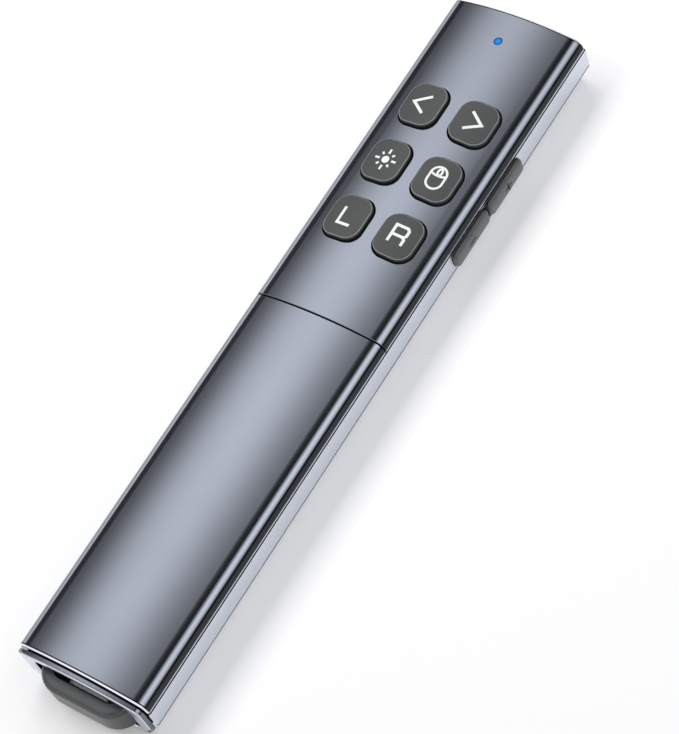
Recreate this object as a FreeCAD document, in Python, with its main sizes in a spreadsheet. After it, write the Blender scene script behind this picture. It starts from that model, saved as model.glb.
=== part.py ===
import FreeCAD, Part
import math
import os
import Sketcher
from FreeCAD import Placement, Rotation, Vector

# A slim wireless presentation clicker, lying on its base: a tapered base shell,
# two crowned metal covers, six front keys, two side keys, a power switch, a laser
# in the head end and a two-plug receiver that parks in a slot in the tail.
# X is the width with the side keys at +X, +Y points to the head end, +Z is up.
# The origin is under the middle of the covers, on the flat of the base.

doc = FreeCAD.newDocument("clicker")

# Driving sizes in millimetres: name, value and what it is.
SIZES = [
    ("body_length", 135.0, "covers and base, tail to head"),
    ("body_width", 26.0, "across the side bands"),
    ("body_height", 11.7, "base to the crown of the covers"),
    ("foot_inset", 2.2, "flat underside inside the side bands"),
    ("cover_height", 3.5, "crown of the covers above the side band"),
    ("band_height", 4.5, "upright side band of the base"),
    ("band_break", 0.15, "chamfer on the upper edge of the side band"),
    ("band_round", 1.2, "rounded lower edge of the side band"),
    ("parting_gap", 0.2, "dark line between cover and base"),
    ("cover_lip", 0.17, "upright edge of the covers below the shoulder"),
    ("shoulder_radius", 2.0, "rounded shoulder of the covers"),
    ("head_recede", 1.0, "how far the head's end leans back at the bottom"),
    ("foot_round", 0.6, "rounding of the lower long edges"),
    ("base_wall", 1.2, "side walls of the base"),
    ("base_floor", 1.2, "floor of the base"),
    ("nose_length", 4.5, "solid nose in front of the base's hollow"),
    ("cover_wall", 0.9, "crown of the covers"),
    ("rail_width", 1.75, "thick side rails of the covers"),
    ("cover_corner", 0.8, "inner corner between crown and rail"),
    ("tongue_depth", 0.45, "tongue that reaches down inside the base wall"),
    ("snap_clearance", 0.15, "tongue to base wall"),
    ("seam_setback", 64.63, "seam between the covers, behind the head's end"),
    ("seam_gap", 0.2, "width of the seam"),
    ("cover_end_wall", 1.0, "end wall of the front cover at the head"),
    ("end_break", 0.33, "bright chamfer on the outer ends of covers and base"),
    ("seam_break", 0.1, "fine chamfer along the seam"),
    ("tail_gap", 0.35, "dark recess between the shell and the tail cap"),
    ("chin_drop", 2.9, "where that recess ends, below the upper edge of the side band"),
    ("cap_inset", 0.35, "tail cap inside the shell's outline"),
    ("cap_flange", 0.5, "bright rim of the tail cap"),
    ("cap_step", 0.25, "raised face of the tail cap"),
    ("cap_step_inset", 0.45, "raised face inside the rim"),
    ("cap_step_break", 0.18, "chamfer of the raised face"),
    ("cap_clearance", 0.06, "tail cap inside the shell"),
    ("spigot_length", 1.5, "tail cap's spigot inside the shell"),
    ("sleeve_wall", 0.5, "side walls of the cap's sleeve"),
    ("slot_top_inset", 1.85, "slot's upper edge below the crown"),
    ("slot_floor", 0.3, "slot's lower edge above the floor of the base"),
    ("loop_floor_gap", 0.3, "loop above the slot's lower edge"),
    ("slot_corner", 2.2, "upper corners of the slot"),
    ("slot_foot_corner", 1.4, "lower corners of the slot"),
    ("stop_gap", 0.1, "gap between pieces that stand end to end"),
    ("running_gap", 0.05, "small running clearance"),
    ("key_side_inset", 4.295, "key tops inside the sides of the cover"),
    ("key_middle_gap", 2.91, "between the two lines of key tops"),
    ("key_top_length", 8.2, "front key, top face along"),
    ("key_draft", 0.2, "how far a key's side leans out at its flange"),
    ("key_gap", 0.2, "key to the edge of its opening"),
    ("key_rise", 0.84, "key top above the crown"),
    ("key_edge_round", 0.3, "rounded edge of a key top"),
    ("key_first_setback", 22.38, "keys nearest the head, behind its end"),
    ("key_pitch_along", 12.12, "distance from key to key along the body"),
    ("key_flange_margin", 0.7, "flange beyond the key's side"),
    ("key_flange", 0.45, "flange thickness"),
    ("key_flange_drop", 0.15, "flange below the cover's underside"),
    ("key_boss", 2.4, "boss under a key, diameter"),
    ("key_boss_height", 0.4, "boss under a key, height"),
    ("key_travel", 0.3, "how far a key goes down"),
    ("switch_side", 3.2, "key switch, square body"),
    ("switch_height", 0.9, "key switch, body height"),
    ("switch_floor", 0.15, "key switch, floor under its bore"),
    ("plunger_size", 1.6, "key switch plunger, diameter"),
    ("plunger_spare", 0.05, "plunger above the switch body when pressed"),
    ("plunger_seat", 0.35, "plunger inside the switch body at rest"),
    ("board_thickness", 0.8, "main board"),
    ("board_side_gap", 1.2, "main board to the side walls"),
    ("board_overlap", 6.87, "main board, tail edge behind the seam"),
    ("board_nose_gap", 0.4, "main board to the nose"),
    ("board_corner", 1.5, "main board, corner radius"),
    ("screw_side_inset", 2.4, "board screws inside the board's side edges"),
    ("screw_tail_inset", 10.0, "tail pair of screws ahead of the board's tail edge"),
    ("screw_nose_inset", 6.6, "head pair of screws behind the board's head edge"),
    ("screw_shank", 1.6, "board screw, shank diameter"),
    ("screw_head", 2.8, "board screw, head diameter"),
    ("screw_head_height", 0.7, "board screw, head height"),
    ("screw_reach", 3.6, "board screw, length under the board"),
    ("screw_socket", 1.3, "board screw, width of the driver socket"),
    ("screw_socket_depth", 0.4, "board screw, depth of the driver socket"),
    ("screw_hole_clearance", 0.1, "board hole round a screw"),
    ("boss_size", 3.6, "screw boss, diameter"),
    ("side_key_length", 10.5, "side key along the body"),
    ("side_key_height", 3.35, "side key, height"),
    ("side_key_corner", 0.95, "side key, corner radius"),
    ("side_key_setback", 33.75, "middle of the two side keys, behind the head's end"),
    ("side_key_drop", 2.23, "side keys' middle below the upper edge of the band"),
    ("side_key_split", 0.5, "slit between the side keys"),
    ("side_key_proud", 0.8, "side key beyond the band"),
    ("side_key_round", 0.55, "rounded outer edge of a side key"),
    ("side_key_gap", 0.12, "side key to its opening"),
    ("side_key_back", 0.45, "back plate of a side key"),
    ("side_key_tab", 0.7, "back plate beyond the key's outer end"),
    ("side_key_lip", 0.5, "back plate below the key's lower side"),
    ("side_key_trim", 0.25, "back plate below the key's upper side"),
    ("side_key_travel", 0.3, "how far a side key goes in"),
    ("side_post", 1.5, "post behind a side key, diameter"),
    ("side_switch_depth", 2.2, "side switch, body across"),
    ("side_switch_length", 3.6, "side switch, body along"),
    ("side_switch_setback", 0.6, "side switch behind the board's edge"),
    ("side_plunger", 1.1, "side switch plunger, diameter"),
    ("side_plunger_spare", 0.1, "side plunger beyond its switch when pressed"),
    ("side_plunger_bore", 1.0, "depth of the bore in a side switch"),
    ("side_plunger_seat", 0.6, "side switch plunger inside its body at rest"),
    ("power_setback", 29.0, "middle of the power knob's way, behind the head's end"),
    ("power_travel", 2.5, "power switch travel"),
    ("power_knob_length", 3.0, "power knob along the body"),
    ("power_knob_height", 1.9, "power knob, height"),
    ("power_knob_proud", 0.45, "power knob beyond the band"),
    ("power_knob_round", 0.2, "rounded edges of the power knob"),
    ("power_gap", 0.12, "power knob to its slot"),
    ("power_shoe_margin", 0.8, "shoe beyond the slot's ends"),
    ("power_shoe_lip", 0.45, "shoe above and below the knob"),
    ("power_shoe", 0.6, "thickness of the shoe"),
    ("power_stem", 1.2, "stem into the switch"),
    ("power_stem_reach", 0.7, "stem inside the switch"),
    ("power_body_length", 8.4, "power switch body along"),
    ("power_body_depth", 2.6, "power switch body across"),
    ("power_body_height", 2.7, "power switch body, height"),
    ("power_grip_width", 0.25, "grip groove in the knob, width"),
    ("power_grip_depth", 0.2, "grip groove in the knob, depth"),
    ("power_grip_pitch", 0.7, "distance between the grip grooves"),
    ("port_setback", 49.5, "charge port behind the head's end"),
    ("port_width", 8.94, "charge port shell, width"),
    ("port_height", 3.26, "charge port shell, height"),
    ("port_depth", 7.0, "charge port shell, depth"),
    ("port_sheet", 0.3, "charge port shell, sheet"),
    ("port_recess", 0.35, "charge port behind the band"),
    ("port_gap", 0.2, "charge port to its opening"),
    ("port_tongue_width", 6.7, "charge port tongue, width"),
    ("port_tongue_height", 0.7, "charge port tongue, thickness"),
    ("port_tongue_setback", 0.6, "charge port tongue behind the shell's mouth"),
    ("port_block", 2.0, "block behind the tongue"),
    ("laser_board_gap", 0.308, "laser barrel below the board"),
    ("laser_length", 10.8, "laser barrel, length"),
    ("laser_nose_gap", 0.1, "laser barrel to the nose"),
    ("laser_floor_gap", 0.2, "laser barrel above the floor"),
    ("laser_wall", 1.0, "wall of the laser barrel"),
    ("lens_length", 1.8, "collimator lens"),
    ("lens_recess", 0.6, "lens behind the barrel's mouth"),
    ("diode_can_length", 2.4, "laser diode can"),
    ("diode_flange_inset", 0.3, "flange of the diode inside the barrel's outline"),
    ("diode_flange", 0.8, "thickness of that flange"),
    ("aperture_step", 0.2, "laser aperture inside the barrel's bore"),
    ("window_margin", 0.6, "laser window beyond the aperture"),
    ("window_thickness", 0.8, "laser window"),
    ("window_setback", 0.5, "laser window behind the head's end"),
    ("cradle_width", 1.0, "ribs that carry the laser"),
    ("cradle_span", 7.0, "span of those ribs"),
    ("cradle_setback", 1.6, "ribs from the ends of the barrel"),
    ("led_inset", 1.17, "status light behind the board's head edge"),
    ("led_length", 1.6, "status light chip, length"),
    ("led_width", 0.8, "status light chip, width"),
    ("led_height", 0.5, "status light chip, height"),
    ("pipe_radius", 0.75, "light pipe"),
    ("pipe_collar_radius", 1.0, "collar of the light pipe"),
    ("pipe_collar", 0.5, "thickness of the collar"),
    ("chip_side", 5.0, "controller chip"),
    ("chip_height", 0.85, "controller chip, height"),
    ("chip_setback", 40.5, "controller chip behind the head's end"),
    ("charger_side", 3.0, "charger chip"),
    ("charger_height", 0.75, "charger chip, height"),
    ("charger_setback", 58.0, "charger chip behind the head's end"),
    ("cell_tail_gap", 1.4, "battery cell to the receiver's dock"),
    ("cell_side_gap", 0.5, "battery cell to the side walls at the floor"),
    ("cell_headroom", 2.34, "battery cell below the cover"),
    ("cell_corner", 1.6, "battery cell, rounded long edges"),
    ("cell_front_gap", 2.8, "battery cell to the board's edge"),
    ("pad_thickness", 0.4, "foam pad under the cell"),
    ("pad_margin", 1.0, "foam pad inside the cell's outline"),
    ("tab_width", 2.0, "battery tab"),
    ("tab_thickness", 0.15, "battery tab"),
    ("tab_across", 9.0, "distance between the battery tabs"),
    ("tab_overlap", 2.5, "battery tab under the board"),
    ("a_width", 12.0, "standard A plug shell, width"),
    ("a_height", 4.5, "standard A plug shell, height"),
    ("a_exposed", 12.3, "A plug outside the case"),
    ("a_buried", 2.5, "A plug inside the case"),
    ("a_sheet", 0.32, "A plug shell, sheet"),
    ("a_corner", 0.5, "A plug shell, corner radius"),
    ("a_window_width", 2.25, "windows in the A shell, across"),
    ("a_window_length", 1.95, "windows in the A shell, along"),
    ("a_window_pitch", 6.0, "distance between the windows"),
    ("a_window_setback", 6.4, "front edge to the middle of the windows"),
    ("a_latch_width", 1.7, "latch slots in the A shell, across"),
    ("a_latch_length", 0.7, "latch slots in the A shell, along"),
    ("a_latch_pitch", 5.2, "distance between the latch slots"),
    ("a_latch_setback", 10.7, "front edge to the latch slots"),
    ("a_tongue_height", 1.9, "A plug tongue"),
    ("a_tongue_setback", 0.5, "A plug tongue behind the shell's edge"),
    ("a_block_length", 3.4, "block at the root of the A plug"),
    ("a_contact_width", 1.1, "A plug contact"),
    ("a_contact_height", 0.12, "A plug contact on the tongue"),
    ("a_contact_length", 7.4, "A plug contact, length"),
    ("a_contact_pitch", 2.3, "distance between the contacts"),
    ("a_contact_setback", 1.4, "A plug contact behind the shell's edge"),
    ("c_width", 8.34, "standard C plug shell, width"),
    ("c_height", 2.56, "standard C plug shell, height"),
    ("c_exposed", 7.0, "C plug outside the case"),
    ("c_buried", 1.4, "C plug inside the case"),
    ("c_sheet", 0.25, "C plug shell, sheet"),
    ("c_slot_width", 6.9, "slot in the C plug, width"),
    ("c_slot_height", 0.9, "slot in the C plug, height"),
    ("c_slot_depth", 5.2, "slot in the C plug, depth"),
    ("c_tip_setback", 0.3, "C plug's tip ahead of the tail cap's face"),
    ("case_side_wall", 0.7, "receiver case, walls beside the A plug"),
    ("case_face_wall", 0.4, "receiver case, walls above and below the A plug"),
    ("case_floor_gap", 0.45, "receiver case above the slot's lower edge"),
    ("case_length", 10.7, "receiver case, length"),
    ("case_break", 0.4, "chamfered edges of the case"),
    ("case_rear_wall", 0.9, "rear wall of the case"),
    ("case_line_inset", 0.95, "fine lines in the case's faces, from its sides"),
    ("case_line_width", 0.14, "fine lines, width"),
    ("case_line_depth", 0.12, "fine lines, depth"),
    ("case_line_stop", 1.3, "fine lines stop before the rear"),
    ("case_fit", 0.03, "case to the plugs and the board inside"),
    ("small_board_thickness", 0.8, "receiver board"),
    ("loop_corner", 4.6, "loop, outer corner radius"),
    ("loop_window_corner", 2.3, "loop, inner corner radius"),
    ("loop_bar", 2.3, "bar across the end of the loop"),
    ("loop_tip_gap", 0.55, "loop's bar to the C plug"),
    ("loop_side_gap", 0.2, "loop's arms to the case"),
    ("loop_ledge", 0.5, "ledge inside the loop"),
    ("loop_ledge_height", 2.1, "ledge inside the loop, height"),
    ("loop_ledge_setback", 2.6, "ledge stops behind the case"),
    ("pivot_inset", 2.3, "loop's pivot ahead of the case's rear"),
    ("pin_radius", 0.8, "loop pin"),
    ("pin_into_case", 0.6, "loop pin inside the case's wall"),
    ("dock_fit", 0.1, "A plug to the dock"),
    ("dock_wall", 1.0, "walls of the dock"),
    ("dock_flange", 1.0, "flange of the dock against the sleeve"),
    ("dock_headroom", 0.4, "dock below the cover"),
    ("overrun", 1.0, "how far a cut runs past the solid"),
]

sheet = doc.addObject("Spreadsheet::Sheet", "Sizes")
for row, (name, value, meaning) in enumerate(SIZES, start=1):
    sheet.set("A%d" % row, meaning)
    sheet.set("B%d" % row, repr(value))
    sheet.setAlias("B%d" % row, name)
doc.recompute()


class Size:
    """A length that carries its number and the formula that ties it to the sheet."""

    def __init__(self, number, formula):
        self.number = number
        self.formula = formula

    def joined(self, sign, other, number):
        return Size(number, "(%s %s %s)" % (self.formula, sign, text(other)))

    def __add__(self, other):
        return self.joined("+", other, self.number + plain(other))

    def __radd__(self, other):
        return self.joined("+", other, self.number + plain(other))

    def __sub__(self, other):
        return self.joined("-", other, self.number - plain(other))

    def __rsub__(self, other):
        return -self.joined("-", other, self.number - plain(other))

    def __mul__(self, other):
        return self.joined("*", other, self.number * plain(other))

    def __truediv__(self, other):
        return self.joined("/", other, self.number / plain(other))

    def __neg__(self):
        return Size(-self.number, "(0 - %s)" % self.formula)


def plain(value):
    """The number of a Size, or the number itself."""
    return value.number if isinstance(value, Size) else value


def text(value):
    """The formula of a Size, or the number as text."""
    return value.formula if isinstance(value, Size) else repr(value)


def square_root(value):
    """Square root of a Size."""
    return Size(math.sqrt(value.number), "sqrt(%s)" % value.formula)


def bind(item, prop, value):
    """Tie a property to the sheet."""
    if isinstance(value, Size):
        item.setExpression(prop, value.formula)


class Sheet:
    """Every driving size as a Size, by its name."""


s = Sheet()
for name, value, meaning in SIZES:
    setattr(s, name, Size(value, "Sizes.%s" % name))

closeness_share = 0.00001
near = s.body_length.number * closeness_share
pieces = []

# Sketch shapes. A path is a list of corners: (x, y) ends a straight line, and
# (x, y, centre x, centre y, turn) ends an arc that turns left (+1) or right (-1).


def limit(sketch, kind, geometry, point, value):
    """Hold a point of a sketch at a distance from the origin."""
    constraint = Sketcher.Constraint(kind, -1, 1, geometry, point, plain(value))
    number = sketch.addConstraint(constraint)
    bind(sketch, "Constraints[%d]" % number, value)


def add_path(sketch, corners):
    """Draw a closed path whose corners and arc centres are tied to the sheet."""
    count = len(corners)
    ends = []
    for index in range(count):
        start = corners[index - 1]
        end = corners[index]
        first = Vector(plain(start[0]), plain(start[1]), 0)
        last = Vector(plain(end[0]), plain(end[1]), 0)
        if len(end) == 2:
            number = sketch.addGeometry(Part.LineSegment(first, last), False)
            ends.append((number, 1, 2))
            continue
        centre = Vector(plain(end[2]), plain(end[3]), 0)
        turn = end[4]
        low, high = (first, last) if turn > 0 else (last, first)
        low_angle = math.atan2(low.y - centre.y, low.x - centre.x)
        high_angle = math.atan2(high.y - centre.y, high.x - centre.x)
        circle = Part.Circle(centre, Vector(0, 0, 1), (first - centre).Length)
        number = sketch.addGeometry(Part.ArcOfCircle(circle, low_angle, high_angle), False)
        ends.append((number, 1, 2) if turn > 0 else (number, 2, 1))
        if abs(last.y - first.y) > abs(last.x - first.x):
            limit(sketch, "DistanceX", number, 3, end[2])
        else:
            limit(sketch, "DistanceY", number, 3, end[3])
    for index in range(count):
        number, start_point, end_point = ends[index]
        following = ends[(index + 1) % count]
        sketch.addConstraint(
            Sketcher.Constraint("Coincident", number, end_point, following[0], following[1])
        )
        limit(sketch, "DistanceX", number, end_point, corners[index][0])
        limit(sketch, "DistanceY", number, end_point, corners[index][1])


class Circle:
    """A circle in a sketch."""

    def __init__(self, across, along, radius):
        self.across = across
        self.along = along
        self.radius = radius

    def draw(self, sketch):
        centre = Vector(plain(self.across), plain(self.along), 0)
        circle = Part.Circle(centre, Vector(0, 0, 1), plain(self.radius))
        number = sketch.addGeometry(circle, False)
        limit(sketch, "DistanceX", number, 3, self.across)
        limit(sketch, "DistanceY", number, 3, self.along)
        tie = sketch.addConstraint(Sketcher.Constraint("Radius", number, plain(self.radius)))
        bind(sketch, "Constraints[%d]" % tie, self.radius)


def box_path(left, right, low, high):
    """A plain rectangle."""
    return [(right, low), (right, high), (left, high), (left, low)]


def rounded_path(left, right, low, high, radius):
    """A rectangle with four rounded corners."""
    return [
        (right - radius, low),
        (right, low + radius, right - radius, low + radius, 1),
        (right, high - radius),
        (right - radius, high, right - radius, high - radius, 1),
        (left + radius, high),
        (left, high - radius, left + radius, high - radius, 1),
        (left, low + radius),
        (left + radius, low, left + radius, low + radius, 1),
    ]


def obround_path(across, level, width, height):
    """A slot with round ends, lying along the first axis."""
    radius = height / 2
    reach = width / 2 - radius
    return [
        (across + reach, level - radius),
        (across + reach, level + radius, across + reach, level, 1),
        (across - reach, level + radius),
        (across - reach, level - radius, across - reach, level, 1),
    ]


PLANES = {"X": "YZ_Plane", "Y": "XZ_Plane", "Z": "XY_Plane"}


def new_body(label):
    """A sub-part made of sketches and features."""
    body = doc.addObject("PartDesign::Body", label)
    body.Label = label
    pieces.append(body)
    return body


def sketch_at(body, axis, place, shapes):
    """A sketch square to an axis, at a place along it."""
    sketch = body.newObject("Sketcher::SketchObject", "Sketch")
    planes = [item for item in body.Origin.OriginFeatures if item.Role == PLANES[axis]]
    sketch.AttachmentSupport = (planes[0], [""])
    sketch.MapMode = "FlatFace"
    shift = -place if axis == "Y" else place
    sketch.AttachmentOffset = Placement(Vector(0, 0, plain(shift)), Rotation())
    bind(sketch, "AttachmentOffset.Base.z", shift)
    for shape in shapes:
        if isinstance(shape, Circle):
            shape.draw(sketch)
        else:
            add_path(sketch, shape)
    return sketch


def add_prism(body, axis, low, high, *shapes):
    """Pad closed shapes from low to high along an axis."""
    pad = body.newObject("PartDesign::Pad", "Pad")
    pad.Profile = sketch_at(body, axis, high if axis == "Y" else low, shapes)
    bind(pad, "Length", high - low)
    body.Tip = pad


cuts = []


def cut_prism(body, axis, low, high, *shapes):
    """Pocket closed shapes from low to high along an axis."""
    before = body.Tip
    pocket = body.newObject("PartDesign::Pocket", "Pocket")
    pocket.Profile = sketch_at(body, axis, low if axis == "Y" else high, shapes)
    bind(pocket, "Length", high - low)
    body.Tip = pocket
    cuts.append((before, pocket))


def dress(body, kind, size, chosen):
    """Fillet or chamfer the edges that a test chooses."""
    doc.recompute()
    base = body.Tip
    names = ["Edge%d" % (index + 1) for index, edge in enumerate(base.Shape.Edges) if chosen(edge)]
    if not names:
        raise RuntimeError("no edge to dress on %s" % body.Label)
    feature = body.newObject("PartDesign::%s" % kind, kind)
    feature.Base = (base, names)
    bind(feature, "Radius" if kind == "Fillet" else "Size", size)
    body.Tip = feature


def at(edge, axis, value):
    """Whether an edge lies wholly at a place along an axis."""
    box = edge.BoundBox
    low, high = {"X": (box.XMin, box.XMax), "Y": (box.YMin, box.YMax), "Z": (box.ZMin, box.ZMax)}[axis]
    place = plain(value)
    return abs(low - place) < near and abs(high - place) < near


def along(edge, axis):
    """Whether an edge is a straight line along an axis."""
    if not isinstance(edge.Curve, Part.Line):
        return False
    direction = edge.Curve.Direction
    return abs(abs({"X": direction.x, "Y": direction.y, "Z": direction.z}[axis]) - 1) < closeness_share


def block(label, left, right, tail_end, head_end, low, high):
    """A plain box between named places."""
    item = doc.addObject("Part::Box", label)
    item.Label = label
    bind(item, "Length", right - left)
    bind(item, "Width", head_end - tail_end)
    bind(item, "Height", high - low)
    bind(item, "Placement.Base.x", left)
    bind(item, "Placement.Base.y", tail_end)
    bind(item, "Placement.Base.z", low)
    return item


TURNS = {"X": Rotation(Vector(0, 1, 0), 90), "Y": Rotation(Vector(1, 0, 0), -90), "Z": Rotation()}


def rod(label, axis, centre, low, high, radius, kind="Part::Cylinder"):
    """A cylinder or a six-sided prism along an axis, round a centre in the other two."""
    item = doc.addObject(kind, label)
    item.Label = label
    places = dict(zip([letter for letter in "xyz" if letter != axis.lower()], centre))
    places[axis.lower()] = low
    start = Vector(plain(places["x"]), plain(places["y"]), plain(places["z"]))
    item.Placement = Placement(start, TURNS[axis])
    for letter, place in places.items():
        bind(item, "Placement.Base.%s" % letter, place)
    bind(item, "Radius" if kind == "Part::Cylinder" else "Circumradius", radius)
    bind(item, "Height", high - low)
    return item


def joined(kind, label, base, tool):
    """A boolean of two solids."""
    item = doc.addObject(kind, label)
    item.Label = label
    item.Base = base
    item.Tool = tool
    return item


def group(label, solids):
    """Separate like solids kept under one name."""
    item = doc.addObject("Part::Compound", label)
    item.Label = label
    item.Links = solids
    pieces.append(item)


# Places that several pieces share.

half_width = s.body_width / 2
half_foot = half_width - s.foot_inset
tail = -s.body_length / 2
nose = s.body_length / 2
seam = nose - s.seam_setback
band_top = s.body_height - s.cover_height
band_foot = band_top - s.band_height
chin_top = band_top - s.chin_drop
hollow_end = nose - s.nose_length
hollow_half = half_width - s.base_wall
inner_foot = half_foot - s.base_wall / 2
rail_half = half_width - s.rail_width
cover_low = band_top + s.parting_gap
shoulder_level = cover_low + s.cover_lip
crown_rise = s.body_height - shoulder_level
shoulder_reach = half_width - s.shoulder_radius
crown_radius = (
    shoulder_reach * shoulder_reach + crown_rise * crown_rise - s.shoulder_radius * s.shoulder_radius
) / ((crown_rise - s.shoulder_radius) * 2)
crown_centre = s.body_height - crown_radius


def crown_at(across, inset):
    """Height of a surface parallel to the crown, across the body."""
    reach = crown_radius - inset
    return crown_centre + square_root(reach * reach - across * across)


def crowned_corners(half, inset, corner):
    """The upper half of a section: two rounded shoulders and the crown between them."""
    centre_x = half - corner
    reach = crown_radius - inset - corner
    rise = square_root(reach * reach - centre_x * centre_x)
    stretch = (crown_radius - inset) / reach
    centre_z = crown_centre + rise
    touch_x = centre_x * stretch
    touch_z = crown_centre + rise * stretch
    return [
        (half, centre_z),
        (touch_x, touch_z, centre_x, centre_z, 1),
        (-touch_x, touch_z, 0, crown_centre, 1),
        (-half, centre_z, -centre_x, centre_z, 1),
    ]


def crowned_path(half, low, inset, corner):
    """A flat-bottomed section with a crowned top."""
    return [(half, low)] + crowned_corners(half, inset, corner) + [(-half, low)]


def fitted_path(half, inset, corner):
    """A section that stands on the floor of the base, clear of its slanted sides."""
    foot = inner_foot - s.cap_clearance
    low = s.base_floor + s.cap_clearance
    return (
        [(foot, low), (half, band_foot)]
        + crowned_corners(half, inset, corner)
        + [(-half, band_foot), (-foot, low)]
    )


def shell_path(inset):
    """The clicker's whole outer section, drawn in by an inset."""
    return (
        [(half_foot - inset, inset), (half_width - inset, band_foot)]
        + crowned_corners(half_width - inset, inset, s.shoulder_radius - inset)
        + [(-(half_width - inset), band_foot), (-(half_foot - inset), inset)]
    )


# Front keys in three rows from the head, left and right in each.
KEY_ROWS = [("key_previous", "key_next"), ("key_laser", "key_mouse"), ("key_left", "key_right")]
KEYS = [
    (label, column, row)
    for row, pair in enumerate(KEY_ROWS)
    for column, label in zip((-1, 1), pair)
]
SIDE_KEYS = [("volume_up", 1), ("volume_down", -1)]

key_corner_share = 0.69
key_half_width = (half_width - s.key_side_inset - s.key_middle_gap / 2) / 2
key_across = s.key_middle_gap / 2 + key_half_width
key_corner = key_half_width * key_corner_share
key_half_length = s.key_top_length / 2
flange_half_width = key_half_width + s.key_draft + s.key_flange_margin
flange_half_length = key_half_length + s.key_draft + s.key_flange_margin
flange_top = crown_at(key_across + flange_half_width, s.cover_wall) - s.key_flange_drop
flange_low = flange_top - s.key_flange
plunger_top = flange_low - s.key_boss_height
switch_top = plunger_top - s.key_travel - s.plunger_spare
board_top = switch_top - s.switch_height
board_low = board_top - s.board_thickness
board_nose = hollow_end - s.board_nose_gap
board_tail = seam - s.board_overlap
board_half = hollow_half - s.board_side_gap
led_place = board_nose - s.led_inset

side_key_place = nose - s.side_key_setback
side_key_level = band_top - s.side_key_drop
side_key_low = side_key_level - s.side_key_height / 2
side_key_high = side_key_level + s.side_key_height / 2
side_key_pitch = s.side_key_length + s.side_key_split
side_plate_face = hollow_half - s.running_gap
side_switch_face = board_half - s.side_switch_setback
side_plunger_end = side_switch_face + s.side_key_travel + s.side_plunger_spare
side_switch_low = side_key_level * 2 - board_low

power_level = board_low - s.power_body_height / 2
power_place = nose - s.power_setback
power_rest = power_place - s.power_travel / 2
power_slot_half = (s.power_knob_length + s.power_travel) / 2 + s.power_gap
port_place = nose - s.port_setback
port_level = board_low - s.port_height / 2
laser_radius = (board_low - s.base_floor - s.laser_floor_gap - s.laser_board_gap) / 2
laser_bore = laser_radius - s.laser_wall
aperture_radius = laser_bore - s.aperture_step
window_radius = aperture_radius + s.window_margin
laser_level = s.base_floor + s.laser_floor_gap + laser_radius
laser_head = hollow_end - s.laser_nose_gap
laser_tail = laser_head - s.laser_length

cap_face = tail - s.tail_gap - s.cap_flange - s.cap_step
case_half = s.a_width / 2 + s.case_side_wall
case_height = s.a_height + s.case_face_wall * 2
slot_low = s.base_floor + s.slot_floor
receiver_level = slot_low + s.case_floor_gap + case_height / 2
plug_tip = cap_face + s.c_tip_setback
case_rear = plug_tip + s.c_exposed
case_front = case_rear + s.case_length
a_plug_tip = case_front + s.a_exposed
pivot_place = case_rear + s.pivot_inset
loop_inner = plug_tip - s.loop_tip_gap
loop_outer = loop_inner - s.loop_bar
dock_start = case_front + s.stop_gap
dock_end = a_plug_tip + s.stop_gap + s.dock_wall

# The loop and its way take shares of the room between the case and the cover's rails.
loop_arm_share = 0.513
slot_gap_share = 0.14
loop_edge_share = 0.41
pin_reach_share = 0.59
loop_top_share = 0.625
arm_inner = case_half + s.loop_side_gap
loop_room = rail_half - s.cap_clearance - arm_inner
loop_arm = loop_room * loop_arm_share
loop_edge_round = loop_arm * loop_edge_share
pin_into_arm = loop_arm * pin_reach_share
loop_half = arm_inner + loop_arm
slot_half = loop_half + loop_room * slot_gap_share
slot_top = crown_at(loop_half, s.slot_top_inset)
loop_low = slot_low + s.loop_floor_gap
loop_high = receiver_level + (slot_top - receiver_level) * loop_top_share
loop_level = (loop_low + loop_high) / 2


def key_place(column, row):
    """Middle of a front key."""
    return key_across * column, nose - s.key_first_setback - s.key_pitch_along * row


def screw_places():
    """Places of the four board screws."""
    return [
        ((board_half - s.screw_side_inset) * side, place)
        for side in (-1, 1)
        for place in (board_tail + s.screw_tail_inset, board_nose - s.screw_nose_inset)
    ]


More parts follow.
